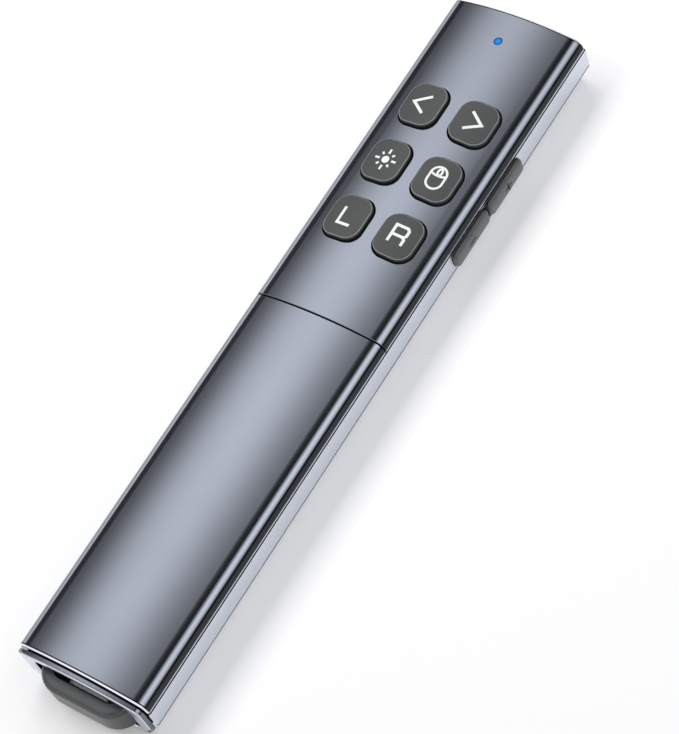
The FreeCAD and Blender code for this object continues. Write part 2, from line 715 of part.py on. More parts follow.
def make_base_shell():
    """Lower shell: tapered section, hollow, bosses, cradle, side openings."""
    body = new_body("base_shell")
    outer = [
        (half_foot, 0), (half_width, band_foot), (half_width, band_top),
        (-half_width, band_top), (-half_width, band_foot), (-half_foot, 0),
    ]
    add_prism(body, "Y", tail, nose, outer)
    dress(body, "Fillet", s.band_round, lambda edge: at(edge, "Z", band_foot))
    dress(body, "Chamfer", s.band_break, lambda edge: at(edge, "Z", band_top) and along(edge, "Y"))
    lean = (band_top * band_top + s.head_recede * s.head_recede) / (s.head_recede * 2)
    cut_prism(body, "X", -half_width - s.overrun, half_width + s.overrun, [
        (nose + s.overrun, 0),
        (nose + s.overrun, band_top),
        (nose, band_top),
        (nose - s.head_recede, 0, nose - lean, band_top, -1),
    ])
    dress(body, "Fillet", s.foot_round, lambda edge: at(edge, "Z", 0) and not at(edge, "Y", tail))
    dress(body, "Chamfer", s.end_break, lambda edge: at(edge, "Y", tail) and not at(edge, "Z", band_top))
    inset = s.cap_inset
    chin = [
        (half_foot - inset, inset), (half_width - inset, band_foot),
        (half_width - inset, chin_top), (-(half_width - inset), chin_top),
        (-(half_width - inset), band_foot), (-(half_foot - inset), inset),
    ]
    add_prism(body, "Y", tail - s.tail_gap + s.running_gap, tail, chin)
    hollow = [
        (inner_foot, s.base_floor), (hollow_half, band_foot), (hollow_half, band_top + s.overrun),
        (-hollow_half, band_top + s.overrun), (-hollow_half, band_foot), (-inner_foot, s.base_floor),
    ]
    cut_prism(body, "Y", tail - s.overrun, hollow_end, hollow)
    bosses = [Circle(x, y, s.boss_size / 2) for x, y in screw_places()]
    add_prism(body, "Z", s.base_floor, board_low, *bosses)
    bores = [Circle(x, y, s.screw_shank / 2 + s.running_gap) for x, y in screw_places()]
    cut_prism(body, "Z", board_low - s.screw_reach - s.running_gap, board_low, *bores)
    for place in (laser_tail + s.cradle_setback, laser_head - s.cradle_setback - s.cradle_width):
        rib = box_path(-s.cradle_span / 2, s.cradle_span / 2, s.base_floor, laser_level)
        add_prism(body, "Y", place, place + s.cradle_width, rib)
    barrel = Circle(0, laser_level, laser_radius + s.running_gap)
    cut_prism(body, "Y", laser_tail, laser_head, barrel)
    cut_prism(body, "Y", laser_head, nose + s.overrun, Circle(0, laser_level, aperture_radius))
    window_seat = nose - s.window_setback - s.window_thickness
    window = Circle(0, laser_level, window_radius + s.running_gap)
    cut_prism(body, "Y", window_seat, nose + s.overrun, window)
    pair_half = side_key_pitch / 2 + s.side_key_length / 2 + s.side_key_gap
    opening = rounded_path(
        side_key_place - pair_half, side_key_place + pair_half,
        side_key_low - s.side_key_gap, side_key_high + s.side_key_gap,
        s.side_key_corner + s.side_key_gap,
    )
    cut_prism(body, "X", hollow_half - s.overrun, half_width + s.overrun, opening)
    knob_half = s.power_knob_height / 2 + s.power_gap
    slot = box_path(
        power_place - power_slot_half, power_place + power_slot_half,
        power_level - knob_half, power_level + knob_half,
    )
    mouth = obround_path(
        port_place, port_level, s.port_width + s.port_gap * 2, s.port_height + s.port_gap * 2
    )
    cut_prism(body, "X", -half_width - s.overrun, -hollow_half + s.overrun, slot, mouth)


def make_cover(label, tail_end, head_end, tongue_tail, tongue_head, end_wall):
    """A crowned cover with thick side rails and snap tongues."""
    body = new_body(label)
    outer = crowned_path(half_width, cover_low, 0, s.shoulder_radius)
    add_prism(body, "Y", tail_end, head_end, outer)
    inner = crowned_path(rail_half, cover_low - s.overrun, s.cover_wall, s.cover_corner)
    cut_prism(body, "Y", tail_end - s.overrun, head_end - end_wall, inner)
    tongue_edge = hollow_half - s.snap_clearance
    tongue_low = band_top - s.tongue_depth
    tongues = [
        box_path(rail_half, tongue_edge, tongue_tail, tongue_head),
        box_path(-tongue_edge, -rail_half, tongue_tail, tongue_head),
    ]
    add_prism(body, "Z", tongue_low, cover_low, *tongues)
    return body


def outer_edge(edge, place):
    """Whether an edge is on a cover's outer outline at one end."""
    if not at(edge, "Y", place) or at(edge, "Z", cover_low):
        return False
    middle = edge.valueAt((edge.FirstParameter + edge.LastParameter) / 2)
    depth = plain(s.cover_wall) / 2
    beside = abs(middle.x) > plain(half_width) - depth
    radius = math.hypot(middle.x, middle.z - plain(crown_centre))
    above = radius > plain(crown_radius) - depth
    shoulder_x = abs(middle.x) - plain(shoulder_reach)
    shoulder_z = middle.z - plain(shoulder_level)
    round_it = shoulder_x > 0 and math.hypot(shoulder_x, shoulder_z) > plain(s.shoulder_radius) - depth
    return beside or above or round_it


def make_covers():
    """The front cover with its key openings, and the rear cover."""
    seam_head = seam + s.seam_gap / 2
    seam_tail = seam - s.seam_gap / 2
    tongue_stop = hollow_end - s.stop_gap
    front = make_cover("front_cover", seam_head, nose, seam_head, tongue_stop, s.cover_end_wall)
    openings = []
    for label, column, row in KEYS:
        x, y = key_place(column, row)
        across = key_half_width + s.key_draft + s.key_gap
        lengthwise = key_half_length + s.key_draft + s.key_gap
        corner = key_corner + s.key_draft + s.key_gap
        openings.append(rounded_path(x - across, x + across, y - lengthwise, y + lengthwise, corner))
    openings.append(Circle(0, led_place, s.pipe_radius + s.running_gap))
    cut_prism(front, "Z", shoulder_level, s.body_height + s.overrun, *openings)
    dress(front, "Chamfer", s.end_break, lambda edge: outer_edge(edge, nose))
    dress(front, "Chamfer", s.seam_break, lambda edge: outer_edge(edge, seam_head))
    tongue_start = tail + s.spigot_length + s.stop_gap
    rear = make_cover("rear_cover", tail, seam_tail, tongue_start, seam_tail, -s.overrun)
    dress(rear, "Chamfer", s.end_break, lambda edge: outer_edge(edge, tail))
    dress(rear, "Chamfer", s.seam_break, lambda edge: outer_edge(edge, seam_tail))


def make_tail_cap():
    """Tail cap: rim, raised face, spigot and the sleeve that the receiver parks in."""
    body = new_body("tail_cap")
    rim_inner = tail - s.tail_gap
    rim_outer = rim_inner - s.cap_flange
    add_prism(body, "Y", rim_outer, rim_inner, shell_path(s.cap_inset))
    add_prism(body, "Y", cap_face, rim_outer, shell_path(s.cap_inset + s.cap_step_inset))
    dress(body, "Chamfer", s.cap_step_break, lambda edge: at(edge, "Y", cap_face))
    spigot_half = rail_half - s.cap_clearance
    under_cover = s.cover_wall + s.cap_clearance
    spigot = fitted_path(spigot_half, under_cover, s.cover_corner)
    add_prism(body, "Y", rim_inner, tail + s.spigot_length, spigot)
    sleeve = fitted_path(slot_half + s.sleeve_wall, under_cover, s.slot_corner)
    add_prism(body, "Y", tail + s.spigot_length, dock_start - s.stop_gap, sleeve)
    top = crowned_corners(slot_half, s.slot_top_inset, s.slot_corner)
    foot = s.slot_foot_corner
    slot = [(slot_half, slot_low + foot, slot_half - foot, slot_low + foot, 1)] + top + [
        (-slot_half, slot_low + foot),
        (-slot_half + foot, slot_low, -slot_half + foot, slot_low + foot, 1),
        (slot_half - foot, slot_low),
    ]
    cut_prism(body, "Y", cap_face - s.overrun, rim_inner, slot)
    tunnel = crowned_path(slot_half, 0, s.slot_top_inset, s.slot_corner)
    cut_prism(body, "Y", rim_inner, dock_start, tunnel)
    dress(body, "Chamfer", s.cap_step_break, lambda edge: at(edge, "Y", cap_face) and in_slot(edge))


def in_slot(edge):
    """Whether an edge on the cap's face belongs to the slot."""
    middle = edge.valueAt((edge.FirstParameter + edge.LastParameter) / 2)
    reach = plain(crown_radius) - plain(s.slot_top_inset)
    inside = math.hypot(middle.x, middle.z - plain(crown_centre)) < reach + near
    return inside and abs(middle.x) < plain(slot_half) + near and middle.z > plain(slot_low) - near


def make_receiver_dock():
    """Guide on the floor of the base that the A plug enters."""
    body = new_body("receiver_dock")
    low = s.base_floor + s.cap_clearance
    bore_half = s.a_width / 2 + s.dock_fit
    bore_low = receiver_level - s.a_height / 2 - s.dock_fit
    bore_high = receiver_level + s.a_height / 2 + s.dock_fit
    flange_half = slot_half + s.sleeve_wall
    flange_end = dock_start + s.dock_flange
    roof = s.cover_wall + s.dock_headroom
    add_prism(body, "Y", dock_start, flange_end, fitted_path(flange_half, roof, s.slot_corner))
    tube = box_path(-bore_half - s.dock_wall, bore_half + s.dock_wall, low, bore_high + s.dock_wall)
    add_prism(body, "Y", flange_end, dock_end, tube)
    bore = box_path(-bore_half, bore_half, bore_low, bore_high)
    cut_prism(body, "Y", dock_start, a_plug_tip + s.stop_gap, bore)


def make_front_key(label, column, row):
    """A key with drafted sides, a crowned top, a flange and a boss."""
    body = new_body(label)
    x, y = key_place(column, row)
    low_half = key_half_width + s.key_draft
    low_length = key_half_length + s.key_draft
    corner = key_corner + s.key_draft
    peak = s.body_height + s.key_rise
    foot = rounded_path(x - low_half, x + low_half, y - low_length, y + low_length, corner)
    top = rounded_path(
        x - key_half_width, x + key_half_width, y - key_half_length, y + key_half_length, key_corner
    )
    loft = body.newObject("PartDesign::AdditiveLoft", "Loft")
    loft.Profile = sketch_at(body, "Z", flange_top, [foot])
    loft.Sections = [sketch_at(body, "Z", peak, [top])]
    loft.Ruled = True
    body.Tip = loft
    left = x - low_half - s.overrun
    right = x + low_half + s.overrun
    high = peak + s.overrun
    crown = [
        (right, high), (left, high), (left, crown_at(left, -s.key_rise)),
        (right, crown_at(right, -s.key_rise), 0, crown_centre, -1),
    ]
    cut_prism(body, "Y", y - low_length - s.overrun, y + low_length + s.overrun, crown)
    reach = plain(crown_radius + s.key_rise)

    def on_top(edge):
        return all(
            abs(math.hypot(v.X, v.Z - plain(crown_centre)) - reach) < near for v in edge.Vertexes
        )

    dress(body, "Fillet", s.key_edge_round, on_top)
    flange = rounded_path(
        x - flange_half_width, x + flange_half_width, y - flange_half_length, y + flange_half_length,
        corner,
    )
    add_prism(body, "Z", flange_low, flange_top, flange)
    add_prism(body, "Z", plunger_top, flange_low, Circle(x, y, s.key_boss / 2))


def make_key_switch(label, column, row):
    """A low tactile switch on the board, and its plunger."""
    x, y = key_place(column, row)
    body = new_body("switch_%s" % label)
    half = s.switch_side / 2
    add_prism(body, "Z", board_top, switch_top, box_path(x - half, x + half, y - half, y + half))
    bore = Circle(x, y, s.plunger_size / 2 + s.running_gap)
    cut_prism(body, "Z", board_top + s.switch_floor, switch_top, bore)
    plunger = rod(
        "plunger_%s" % label, "Z", (x, y), switch_top - s.plunger_seat, plunger_top, s.plunger_size / 2
    )
    pieces.append(plunger)


def make_side_key(label, side):
    """A side key through the band, with a back plate and a post."""
    y = side_key_place + side_key_pitch / 2 * side
    half = s.side_key_length / 2
    body = new_body("%s_key" % label)
    cap = rounded_path(y - half, y + half, side_key_low, side_key_high, s.side_key_corner)
    face = half_width + s.side_key_proud
    add_prism(body, "X", side_plate_face, face, cap)
    dress(body, "Fillet", s.side_key_round, lambda edge: at(edge, "X", face))
    tail_tab = s.side_key_tab if side < 0 else s.side_key_tab * 0
    head_tab = s.side_key_tab if side > 0 else s.side_key_tab * 0
    plate = box_path(
        y - half - tail_tab, y + half + head_tab,
        side_key_low - s.side_key_lip, side_key_high - s.side_key_trim,
    )
    plate_inner = side_plate_face - s.side_key_back
    add_prism(body, "X", plate_inner, side_plate_face, plate)
    add_prism(body, "X", side_plunger_end, plate_inner, Circle(y, side_key_level, s.side_post / 2))


def make_side_switch(label, side):
    """A right-angle switch under the board's edge, and its plunger."""
    y = side_key_place + side_key_pitch / 2 * side
    half = s.side_switch_length / 2
    body = new_body("%s_switch" % label)
    outline = box_path(y - half, y + half, side_switch_low, board_low)
    add_prism(body, "X", side_switch_face - s.side_switch_depth, side_switch_face, outline)
    bore = Circle(y, side_key_level, s.side_plunger / 2 + s.running_gap)
    cut_prism(body, "X", side_switch_face - s.side_plunger_bore, side_switch_face, bore)
    plunger = rod(
        "%s_plunger" % label, "X", (y, side_key_level),
        side_switch_face - s.side_plunger_seat, side_plunger_end, s.side_plunger / 2,
    )
    pieces.append(plunger)


def make_power_switch():
    """Slide switch on the left side: knob with shoe and stem, and the switch body."""
    knob = new_body("power_knob")
    half = s.power_knob_length / 2
    high = s.power_knob_height / 2
    face = -half_width - s.power_knob_proud
    shoe_outer = -hollow_half + s.running_gap
    shoe_inner = shoe_outer + s.power_shoe
    switch_face = -board_half
    outline = box_path(power_rest - half, power_rest + half, power_level - high, power_level + high)
    add_prism(knob, "X", face, shoe_outer, outline)
    dress(knob, "Fillet", s.power_knob_round, lambda edge: at(edge, "X", face))
    grooves = []
    for step in (-1, 0, 1):
        middle = power_rest + s.power_grip_pitch * step
        groove_half = s.power_grip_width / 2
        grooves.append(box_path(
            middle - groove_half, middle + groove_half,
            power_level - high - s.overrun, power_level + high + s.overrun,
        ))
    cut_prism(knob, "X", face - s.overrun, face + s.power_grip_depth, *grooves)
    shoe_half = half + s.power_travel + s.power_gap * 2 + s.power_shoe_margin
    shoe = box_path(
        power_rest - shoe_half, power_rest + shoe_half,
        power_level - high - s.power_shoe_lip, power_level + high + s.power_shoe_lip,
    )
    add_prism(knob, "X", shoe_outer, shoe_inner, shoe)
    stem_half = s.power_stem / 2
    stem = box_path(
        power_rest - stem_half, power_rest + stem_half, power_level - stem_half, power_level + stem_half
    )
    add_prism(knob, "X", shoe_inner, switch_face + s.power_stem_reach, stem)
    body = new_body("power_switch")
    body_half = s.power_body_length / 2
    case = box_path(
        power_place - body_half, power_place + body_half,
        power_level - s.power_body_height / 2, power_level + s.power_body_height / 2,
    )
    add_prism(body, "X", switch_face, switch_face + s.power_body_depth, case)
    way_half = (s.power_travel + s.power_stem) / 2 + s.power_gap
    way_high = stem_half + s.running_gap
    way = box_path(
        power_place - way_half, power_place + way_half, power_level - way_high, power_level + way_high
    )
    cut_prism(body, "X", switch_face, switch_face + s.power_stem_reach + s.power_gap, way)


def make_charge_port():
    """Charge socket on the left side: drawn shell and the tongue on its block."""
    mouth = -half_width + s.port_recess
    back = mouth + s.port_depth
    inner_width = s.port_width - s.port_sheet * 2
    inner_height = s.port_height - s.port_sheet * 2
    shell = new_body("charge_port_shell")
    add_prism(
        shell, "X", mouth, back,
        obround_path(port_place, port_level, s.port_width, s.port_height),
        obround_path(port_place, port_level, inner_width, inner_height),
    )
    core = new_body("charge_port_tongue")
    block_width = inner_width - s.running_gap * 2
    block_height = inner_height - s.running_gap * 2
    block_start = back - s.port_block
    add_prism(
        core, "X", block_start, back, obround_path(port_place, port_level, block_width, block_height)
    )
    tongue = box_path(
        port_place - s.port_tongue_width / 2, port_place + s.port_tongue_width / 2,
        port_level - s.port_tongue_height / 2, port_level + s.port_tongue_height / 2,
    )
    add_prism(core, "X", mouth + s.port_tongue_setback, block_start, tongue)


def make_laser():
    """Laser module: barrel, diode, lens, and the window in the nose."""
    centre = (0, laser_level)
    barrel = new_body("laser_barrel")
    add_prism(
        barrel, "Y", laser_tail, laser_head,
        Circle(0, laser_level, laser_radius), Circle(0, laser_level, laser_bore),
    )
    fit = laser_bore - s.running_gap
    flange_radius = laser_radius - s.diode_flange_inset
    can = rod("diode_can", "Y", centre, laser_tail, laser_tail + s.diode_can_length, fit)
    flange = rod("diode_base", "Y", centre, laser_tail - s.diode_flange, laser_tail, flange_radius)
    pieces.append(joined("Part::Fuse", "laser_diode", can, flange))
    lens_head = laser_head - s.lens_recess
    pieces.append(rod("laser_lens", "Y", centre, lens_head - s.lens_length, lens_head, fit))
    window_head = nose - s.window_setback
    window_tail = window_head - s.window_thickness
    pieces.append(rod("laser_window", "Y", centre, window_tail, window_head, window_radius))


def make_board():
    """Main board with its screws, chips and status light."""
    board = new_body("main_board")
    outline = rounded_path(
        -board_half, board_half, board_tail, board_nose, s.board_corner
    )
    hole = s.screw_shank / 2 + s.screw_hole_clearance
    holes = [Circle(x, y, hole) for x, y in screw_places()]
    add_prism(board, "Z", board_low, board_top, outline, *holes)
    screws = []
    for number, (x, y) in enumerate(screw_places(), start=1):
        head_top = board_top + s.screw_head_height
        head = rod("screw_head_%d" % number, "Z", (x, y), board_top, head_top, s.screw_head / 2)
        shank = rod(
            "screw_shank_%d" % number, "Z", (x, y), board_low - s.screw_reach, board_top, s.screw_shank / 2
        )
        screw = joined("Part::Fuse", "screw_blank_%d" % number, head, shank)
        socket_low = head_top - s.screw_socket_depth
        socket = rod(
            "screw_socket_%d" % number, "Z", (x, y), socket_low, head_top + s.overrun,
            s.screw_socket / 2, "Part::Prism",
        )
        screws.append(joined("Part::Cut", "screw_%d" % number, screw, socket))
    group("board_screws", screws)
    chips = [
        ("controller_chip", nose - s.chip_setback, s.chip_side, s.chip_height),
        ("charger_chip", nose - s.charger_setback, s.charger_side, s.charger_height),
    ]
    for label, place, side, height in chips:
        half = side / 2
        pieces.append(block(label, -half, half, place - half, place + half, board_low - height, board_low))
    led_top = board_top + s.led_height
    pieces.append(block(
        "status_led", -s.led_length / 2, s.led_length / 2,
        led_place - s.led_width / 2, led_place + s.led_width / 2, board_top, led_top,
    ))
    pipe = new_body("light_pipe")
    collar_top = crown_at(s.pipe_collar_radius, s.cover_wall) - s.running_gap
    add_prism(pipe, "Z", led_top + s.stop_gap, s.body_height, Circle(0, led_place, s.pipe_radius))
    collar = Circle(0, led_place, s.pipe_collar_radius)
    add_prism(pipe, "Z", collar_top - s.pipe_collar, collar_top, collar)


def make_battery():
    """Pouch cell on its foam pad, with two tabs to the board."""
    half = inner_foot - s.cell_side_gap
    cell_low = s.base_floor + s.pad_thickness
    cell_high = crown_at(half, s.cover_wall) - s.cell_headroom
    cell_head = board_tail - s.cell_front_gap
    cell_tail = dock_end + s.cell_tail_gap
    cell = new_body("battery_cell")
    outline = rounded_path(-half, half, cell_low, cell_high, s.cell_corner)
    add_prism(cell, "Y", cell_tail, cell_head, outline)
    margin = s.pad_margin + s.cell_corner
    pieces.append(block(
        "battery_pad", -half + margin, half - margin, cell_tail + margin, cell_head - margin,
        s.base_floor, cell_low,
    ))
    tabs = []
    for side in (-1, 1):
        middle = s.tab_across / 2 * side
        tabs.append(block(
            "battery_tab_%d" % (2 + side), middle - s.tab_width / 2, middle + s.tab_width / 2,
            cell_head, board_tail + s.tab_overlap, board_low - s.tab_thickness, board_low,
        ))
    group("battery_tabs", tabs)


def make_a_plug():
    """Standard A plug: drawn shell with windows, tongue on its block, four contacts."""
    root = case_front - s.a_buried
    low = receiver_level - s.a_height / 2
    high = receiver_level + s.a_height / 2
    half = s.a_width / 2
    sheet_metal = s.a_sheet
    shell = new_body("a_plug_shell")
    add_prism(
        shell, "Y", root, a_plug_tip,
        rounded_path(-half, half, low, high, s.a_corner),
        rounded_path(-half + sheet_metal, half - sheet_metal, low + sheet_metal, high - sheet_metal,
                     s.a_corner - sheet_metal / 2),
    )
    windows = []
    slots = []
    for side in (-1, 1):
        x = s.a_window_pitch / 2 * side
        y = a_plug_tip - s.a_window_setback
        windows.append(box_path(
            x - s.a_window_width / 2, x + s.a_window_width / 2,
            y - s.a_window_length / 2, y + s.a_window_length / 2,
        ))
        x = s.a_latch_pitch / 2 * side
        y = a_plug_tip - s.a_latch_setback
        slots.append(box_path(
            x - s.a_latch_width / 2, x + s.a_latch_width / 2,
            y - s.a_latch_length / 2, y + s.a_latch_length / 2,
        ))
    cut_prism(shell, "Z", low - s.overrun, high + s.overrun, *windows)
    cut_prism(shell, "Z", low - s.overrun, receiver_level, *slots)
    tongue = new_body("a_plug_tongue")
    inner = half - sheet_metal - s.running_gap
    block_low = low + sheet_metal + s.running_gap
    block_high = high - sheet_metal - s.running_gap
    block_end = root + s.a_block_length
    tongue_low = block_high - s.a_tongue_height
    corner = s.a_corner - sheet_metal / 2
    add_prism(tongue, "Y", root, block_end, rounded_path(-inner, inner, block_low, block_high, corner))
    add_prism(
        tongue, "Y", block_end, a_plug_tip - s.a_tongue_setback,
        rounded_path(-inner, inner, tongue_low, block_high, corner),
    )
    contacts = []
    contact_count = 4
    contact_head = a_plug_tip - s.a_contact_setback
    for number in range(contact_count):
        x = s.a_contact_pitch / 2 * (number * 2 + 1 - contact_count)
        contacts.append(block(
            "a_contact_%d" % (number + 1), x - s.a_contact_width / 2, x + s.a_contact_width / 2,
            contact_head - s.a_contact_length, contact_head, tongue_low - s.a_contact_height, tongue_low,
        ))
    group("a_plug_contacts", contacts)


def make_c_plug():
    """Standard C plug: seamless shell and a core with the slot that takes the tongue."""
    end = case_rear + s.c_buried
    shell = new_body("c_plug_shell")
    inner_width = s.c_width - s.c_sheet * 2
    inner_height = s.c_height - s.c_sheet * 2
    add_prism(
        shell, "Y", plug_tip, end,
        obround_path(0, receiver_level, s.c_width, s.c_height),
        obround_path(0, receiver_level, inner_width, inner_height),
    )
    core = new_body("c_plug_core")
    fit = s.case_fit * 2
    core_path = obround_path(0, receiver_level, inner_width - fit, inner_height - fit)
    add_prism(core, "Y", plug_tip + s.running_gap, end, core_path)
    slot = box_path(
        -s.c_slot_width / 2, s.c_slot_width / 2,
        receiver_level - s.c_slot_height / 2, receiver_level + s.c_slot_height / 2,
    )
    cut_prism(core, "Y", plug_tip - s.overrun, plug_tip + s.c_slot_depth, slot)


def make_receiver_case():
    """Case that holds both plugs, with fine lines, pin holes and the small board."""
    body = new_body("receiver_case")
    half = case_half
    low = receiver_level - case_height / 2
    high = receiver_level + case_height / 2
    add_prism(body, "Y", case_rear, case_front, box_path(-half, half, low, high))
    dress(body, "Chamfer", s.case_break, lambda edge: along(edge, "Y") or at(edge, "Y", case_rear))
    cavity_half = s.a_width / 2 + s.case_fit
    cavity_low = receiver_level - s.a_height / 2 - s.case_fit
    cavity_high = receiver_level + s.a_height / 2 + s.case_fit
    cavity = box_path(-cavity_half, cavity_half, cavity_low, cavity_high)
    cut_prism(body, "Y", case_rear + s.case_rear_wall, case_front + s.overrun, cavity)
    fit = s.case_fit * 2
    hole = obround_path(0, receiver_level, s.c_width + fit, s.c_height + fit)
    cut_prism(body, "Y", case_rear - s.overrun, case_rear + s.case_rear_wall, hole)
    lines = []
    for side in (-1, 1):
        x = (half - s.case_line_inset) * side
        lines.append(box_path(
            x - s.case_line_width / 2, x + s.case_line_width / 2,
            case_rear + s.case_line_stop, case_front + s.overrun,
        ))
    cut_prism(body, "Z", high - s.case_line_depth, high + s.overrun, *lines)
    cut_prism(body, "Z", low - s.overrun, low + s.case_line_depth, *lines)
    pin_hole = Circle(pivot_place, receiver_level, s.pin_radius + s.case_fit)
    cut_prism(body, "X", half - s.pin_into_case, half + s.overrun, pin_hole)
    cut_prism(body, "X", -half - s.overrun, -half + s.pin_into_case, pin_hole)
    board_half = cavity_half - s.running_gap
    pieces.append(block(
        "receiver_board", -board_half, board_half,
        case_rear + s.c_buried + s.running_gap, case_front - s.a_buried - s.running_gap,
        receiver_level - s.small_board_thickness / 2, receiver_level + s.small_board_thickness / 2,
    ))


def make_receiver_loop():
    """U-shaped loop round the C plug, hinged on two pins in the case."""
    body = new_body("receiver_loop")
    half = loop_half
    arm_end = pivot_place + loop_high - loop_level
    corner = s.loop_corner
    outline = [
        (half - corner, loop_outer),
        (half, loop_outer + corner, half - corner, loop_outer + corner, 1),
        (half, arm_end), (-half, arm_end), (-half, loop_outer + corner),
        (-half + corner, loop_outer, -half + corner, loop_outer + corner, 1),
    ]
    add_prism(body, "Z", loop_low, loop_high, outline)
    cut_prism(body, "X", -half - s.overrun, half + s.overrun, [
        (pivot_place, loop_low, pivot_place, loop_level, -1),
        (pivot_place, loop_low - s.overrun), (arm_end + s.overrun, loop_low - s.overrun),
        (arm_end + s.overrun, loop_high + s.overrun), (pivot_place, loop_high + s.overrun),
        (pivot_place, loop_high),
    ])
    dress(body, "Fillet", loop_edge_round, loop_rim)
    inner = s.loop_window_corner
    window = [
        (arm_inner - inner, loop_inner),
        (arm_inner, loop_inner + inner, arm_inner - inner, loop_inner + inner, 1),
        (arm_inner, arm_end + s.overrun), (-arm_inner, arm_end + s.overrun),
        (-arm_inner, loop_inner + inner),
        (-arm_inner + inner, loop_inner, -arm_inner + inner, loop_inner + inner, 1),
    ]
    cut_prism(body, "Z", loop_low - s.overrun, loop_high + s.overrun, window)
    ledge_end = case_rear - s.loop_ledge_setback
    ledge_half = arm_inner - s.loop_ledge
    for side in (-1, 1):
        near_side = ledge_half * side
        far_side = (arm_inner + s.loop_ledge) * side
        left, right = (near_side, far_side) if side > 0 else (far_side, near_side)
        ledge = box_path(left, right, loop_inner + inner, ledge_end)
        add_prism(body, "Z", loop_low + loop_edge_round, loop_low + s.loop_ledge_height, ledge)
    hole = Circle(pivot_place, receiver_level, s.pin_radius + s.running_gap)
    hole_end = arm_inner + pin_into_arm + s.running_gap
    cut_prism(body, "X", arm_inner - s.overrun, hole_end, hole)
    cut_prism(body, "X", -hole_end, -arm_inner + s.overrun, hole)
    centre = (pivot_place, receiver_level)
    pin_start = case_half - s.pin_into_case
    pin_end = arm_inner + pin_into_arm
    group("loop_pins", [
        rod("loop_pin_left", "X", centre, -pin_end, -pin_start, s.pin_radius),
        rod("loop_pin_right", "X", centre, pin_start, pin_end, s.pin_radius),
    ])


def loop_rim(edge):
    """Whether an edge runs round the loop's outer outline, above or below."""
    middle = edge.valueAt((edge.FirstParameter + edge.LastParameter) / 2)
    flat = at(edge, "Z", loop_low) or at(edge, "Z", loop_high)
    ends = at(edge, "Y", pivot_place)
    return flat and not ends and middle.y < plain(pivot_place)


make_base_shell()
make_covers()
make_tail_cap()
make_receiver_dock()
for label, column, row in KEYS:
    make_front_key(label, column, row)
    make_key_switch(label, column, row)
for label, side in SIDE_KEYS:
    make_side_key(label, side)
    make_side_switch(label, side)
make_power_switch()
make_charge_port()
make_laser()
make_board()
make_battery()
make_a_plug()
make_c_plug()
make_receiver_case()
make_receiver_loop()
doc.recompute()

# Nothing is written unless every feature worked and every cut removed material.
for item in doc.Objects:
    if "Invalid" in item.State or "Error" in item.State:
        raise RuntimeError("%s failed: %s" % (item.Label, item.State))
for before, after in cuts:
    if before.Shape.Volume - after.Shape.Volume < near ** 3:
        raise RuntimeError("%s cut nothing" % after.Label)
for piece in pieces:
    if piece.Shape.isNull() or not piece.Shape.isValid() or not piece.Shape.Solids:
        raise RuntimeError("%s has no valid solid" % piece.Label)

os.makedirs("parts", exist_ok=True)
for piece in pieces:
    piece.Shape.exportStep("parts/%s.step" % piece.Label)
    print(piece.Label, len(piece.Shape.Solids), round(piece.Shape.Volume, 3))
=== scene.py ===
import math

import bmesh
import bpy
from mathutils import Matrix, Vector


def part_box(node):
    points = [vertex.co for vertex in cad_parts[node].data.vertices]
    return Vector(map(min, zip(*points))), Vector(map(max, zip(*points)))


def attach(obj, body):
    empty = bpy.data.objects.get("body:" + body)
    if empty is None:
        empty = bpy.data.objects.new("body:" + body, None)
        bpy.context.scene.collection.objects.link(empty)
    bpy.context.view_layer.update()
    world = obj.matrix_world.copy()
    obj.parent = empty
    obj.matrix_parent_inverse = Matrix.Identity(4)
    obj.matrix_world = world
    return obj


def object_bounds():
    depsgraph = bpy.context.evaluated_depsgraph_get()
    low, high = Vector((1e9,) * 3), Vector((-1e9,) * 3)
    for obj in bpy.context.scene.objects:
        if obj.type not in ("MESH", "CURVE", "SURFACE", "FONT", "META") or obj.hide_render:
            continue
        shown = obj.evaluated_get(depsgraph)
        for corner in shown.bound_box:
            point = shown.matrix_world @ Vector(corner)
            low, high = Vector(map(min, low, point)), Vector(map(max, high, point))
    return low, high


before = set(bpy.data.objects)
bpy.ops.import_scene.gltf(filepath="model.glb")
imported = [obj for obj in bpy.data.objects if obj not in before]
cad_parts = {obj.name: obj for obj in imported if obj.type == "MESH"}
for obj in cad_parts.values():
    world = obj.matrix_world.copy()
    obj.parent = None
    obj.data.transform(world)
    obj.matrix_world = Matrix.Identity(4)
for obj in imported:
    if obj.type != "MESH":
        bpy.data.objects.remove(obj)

cad_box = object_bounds()
mm = 0.001

# Studio. The clicker lies on a wide white floor with pale walls at its horizon. Two long lamps
# above it, one each side, light it softly. What its metal mirrors, such as the broad highlight
# along the covers, comes from the levels of light in the world, further down in this section.
studio = bpy.data.collections.new("studio")
bpy.context.scene.collection.children.link(studio)

floor_half = 3.0
floor_drop = 0.02 * mm
floor_glow_strength = 0.2
floor_mesh = bpy.data.meshes.new("floor")
floor_corners = [(-1, -1), (1, -1), (1, 1), (-1, 1)]
floor_mesh.from_pydata([(x * floor_half, y * floor_half, 0) for x, y in floor_corners], [], [(0, 1, 2, 3)])
floor = bpy.data.objects.new("floor", floor_mesh)
floor.location.z = cad_box[0][2] - floor_drop
studio.objects.link(floor)


def seen_by_eye(tree):
    """1 where the camera, a mirror or glass looks, 0 for the light that falls on things."""
    path = tree.nodes.new("ShaderNodeLightPath")
    first = tree.nodes.new("ShaderNodeMath")
    second = tree.nodes.new("ShaderNodeMath")
    first.operation = "MAXIMUM"
    second.operation = "MAXIMUM"
    tree.links.new(path.outputs["Is Camera Ray"], first.inputs[0])
    tree.links.new(path.outputs["Is Glossy Ray"], first.inputs[1])
    tree.links.new(first.outputs[0], second.inputs[0])
    tree.links.new(path.outputs["Is Transmission Ray"], second.inputs[1])
    return second.outputs[0]


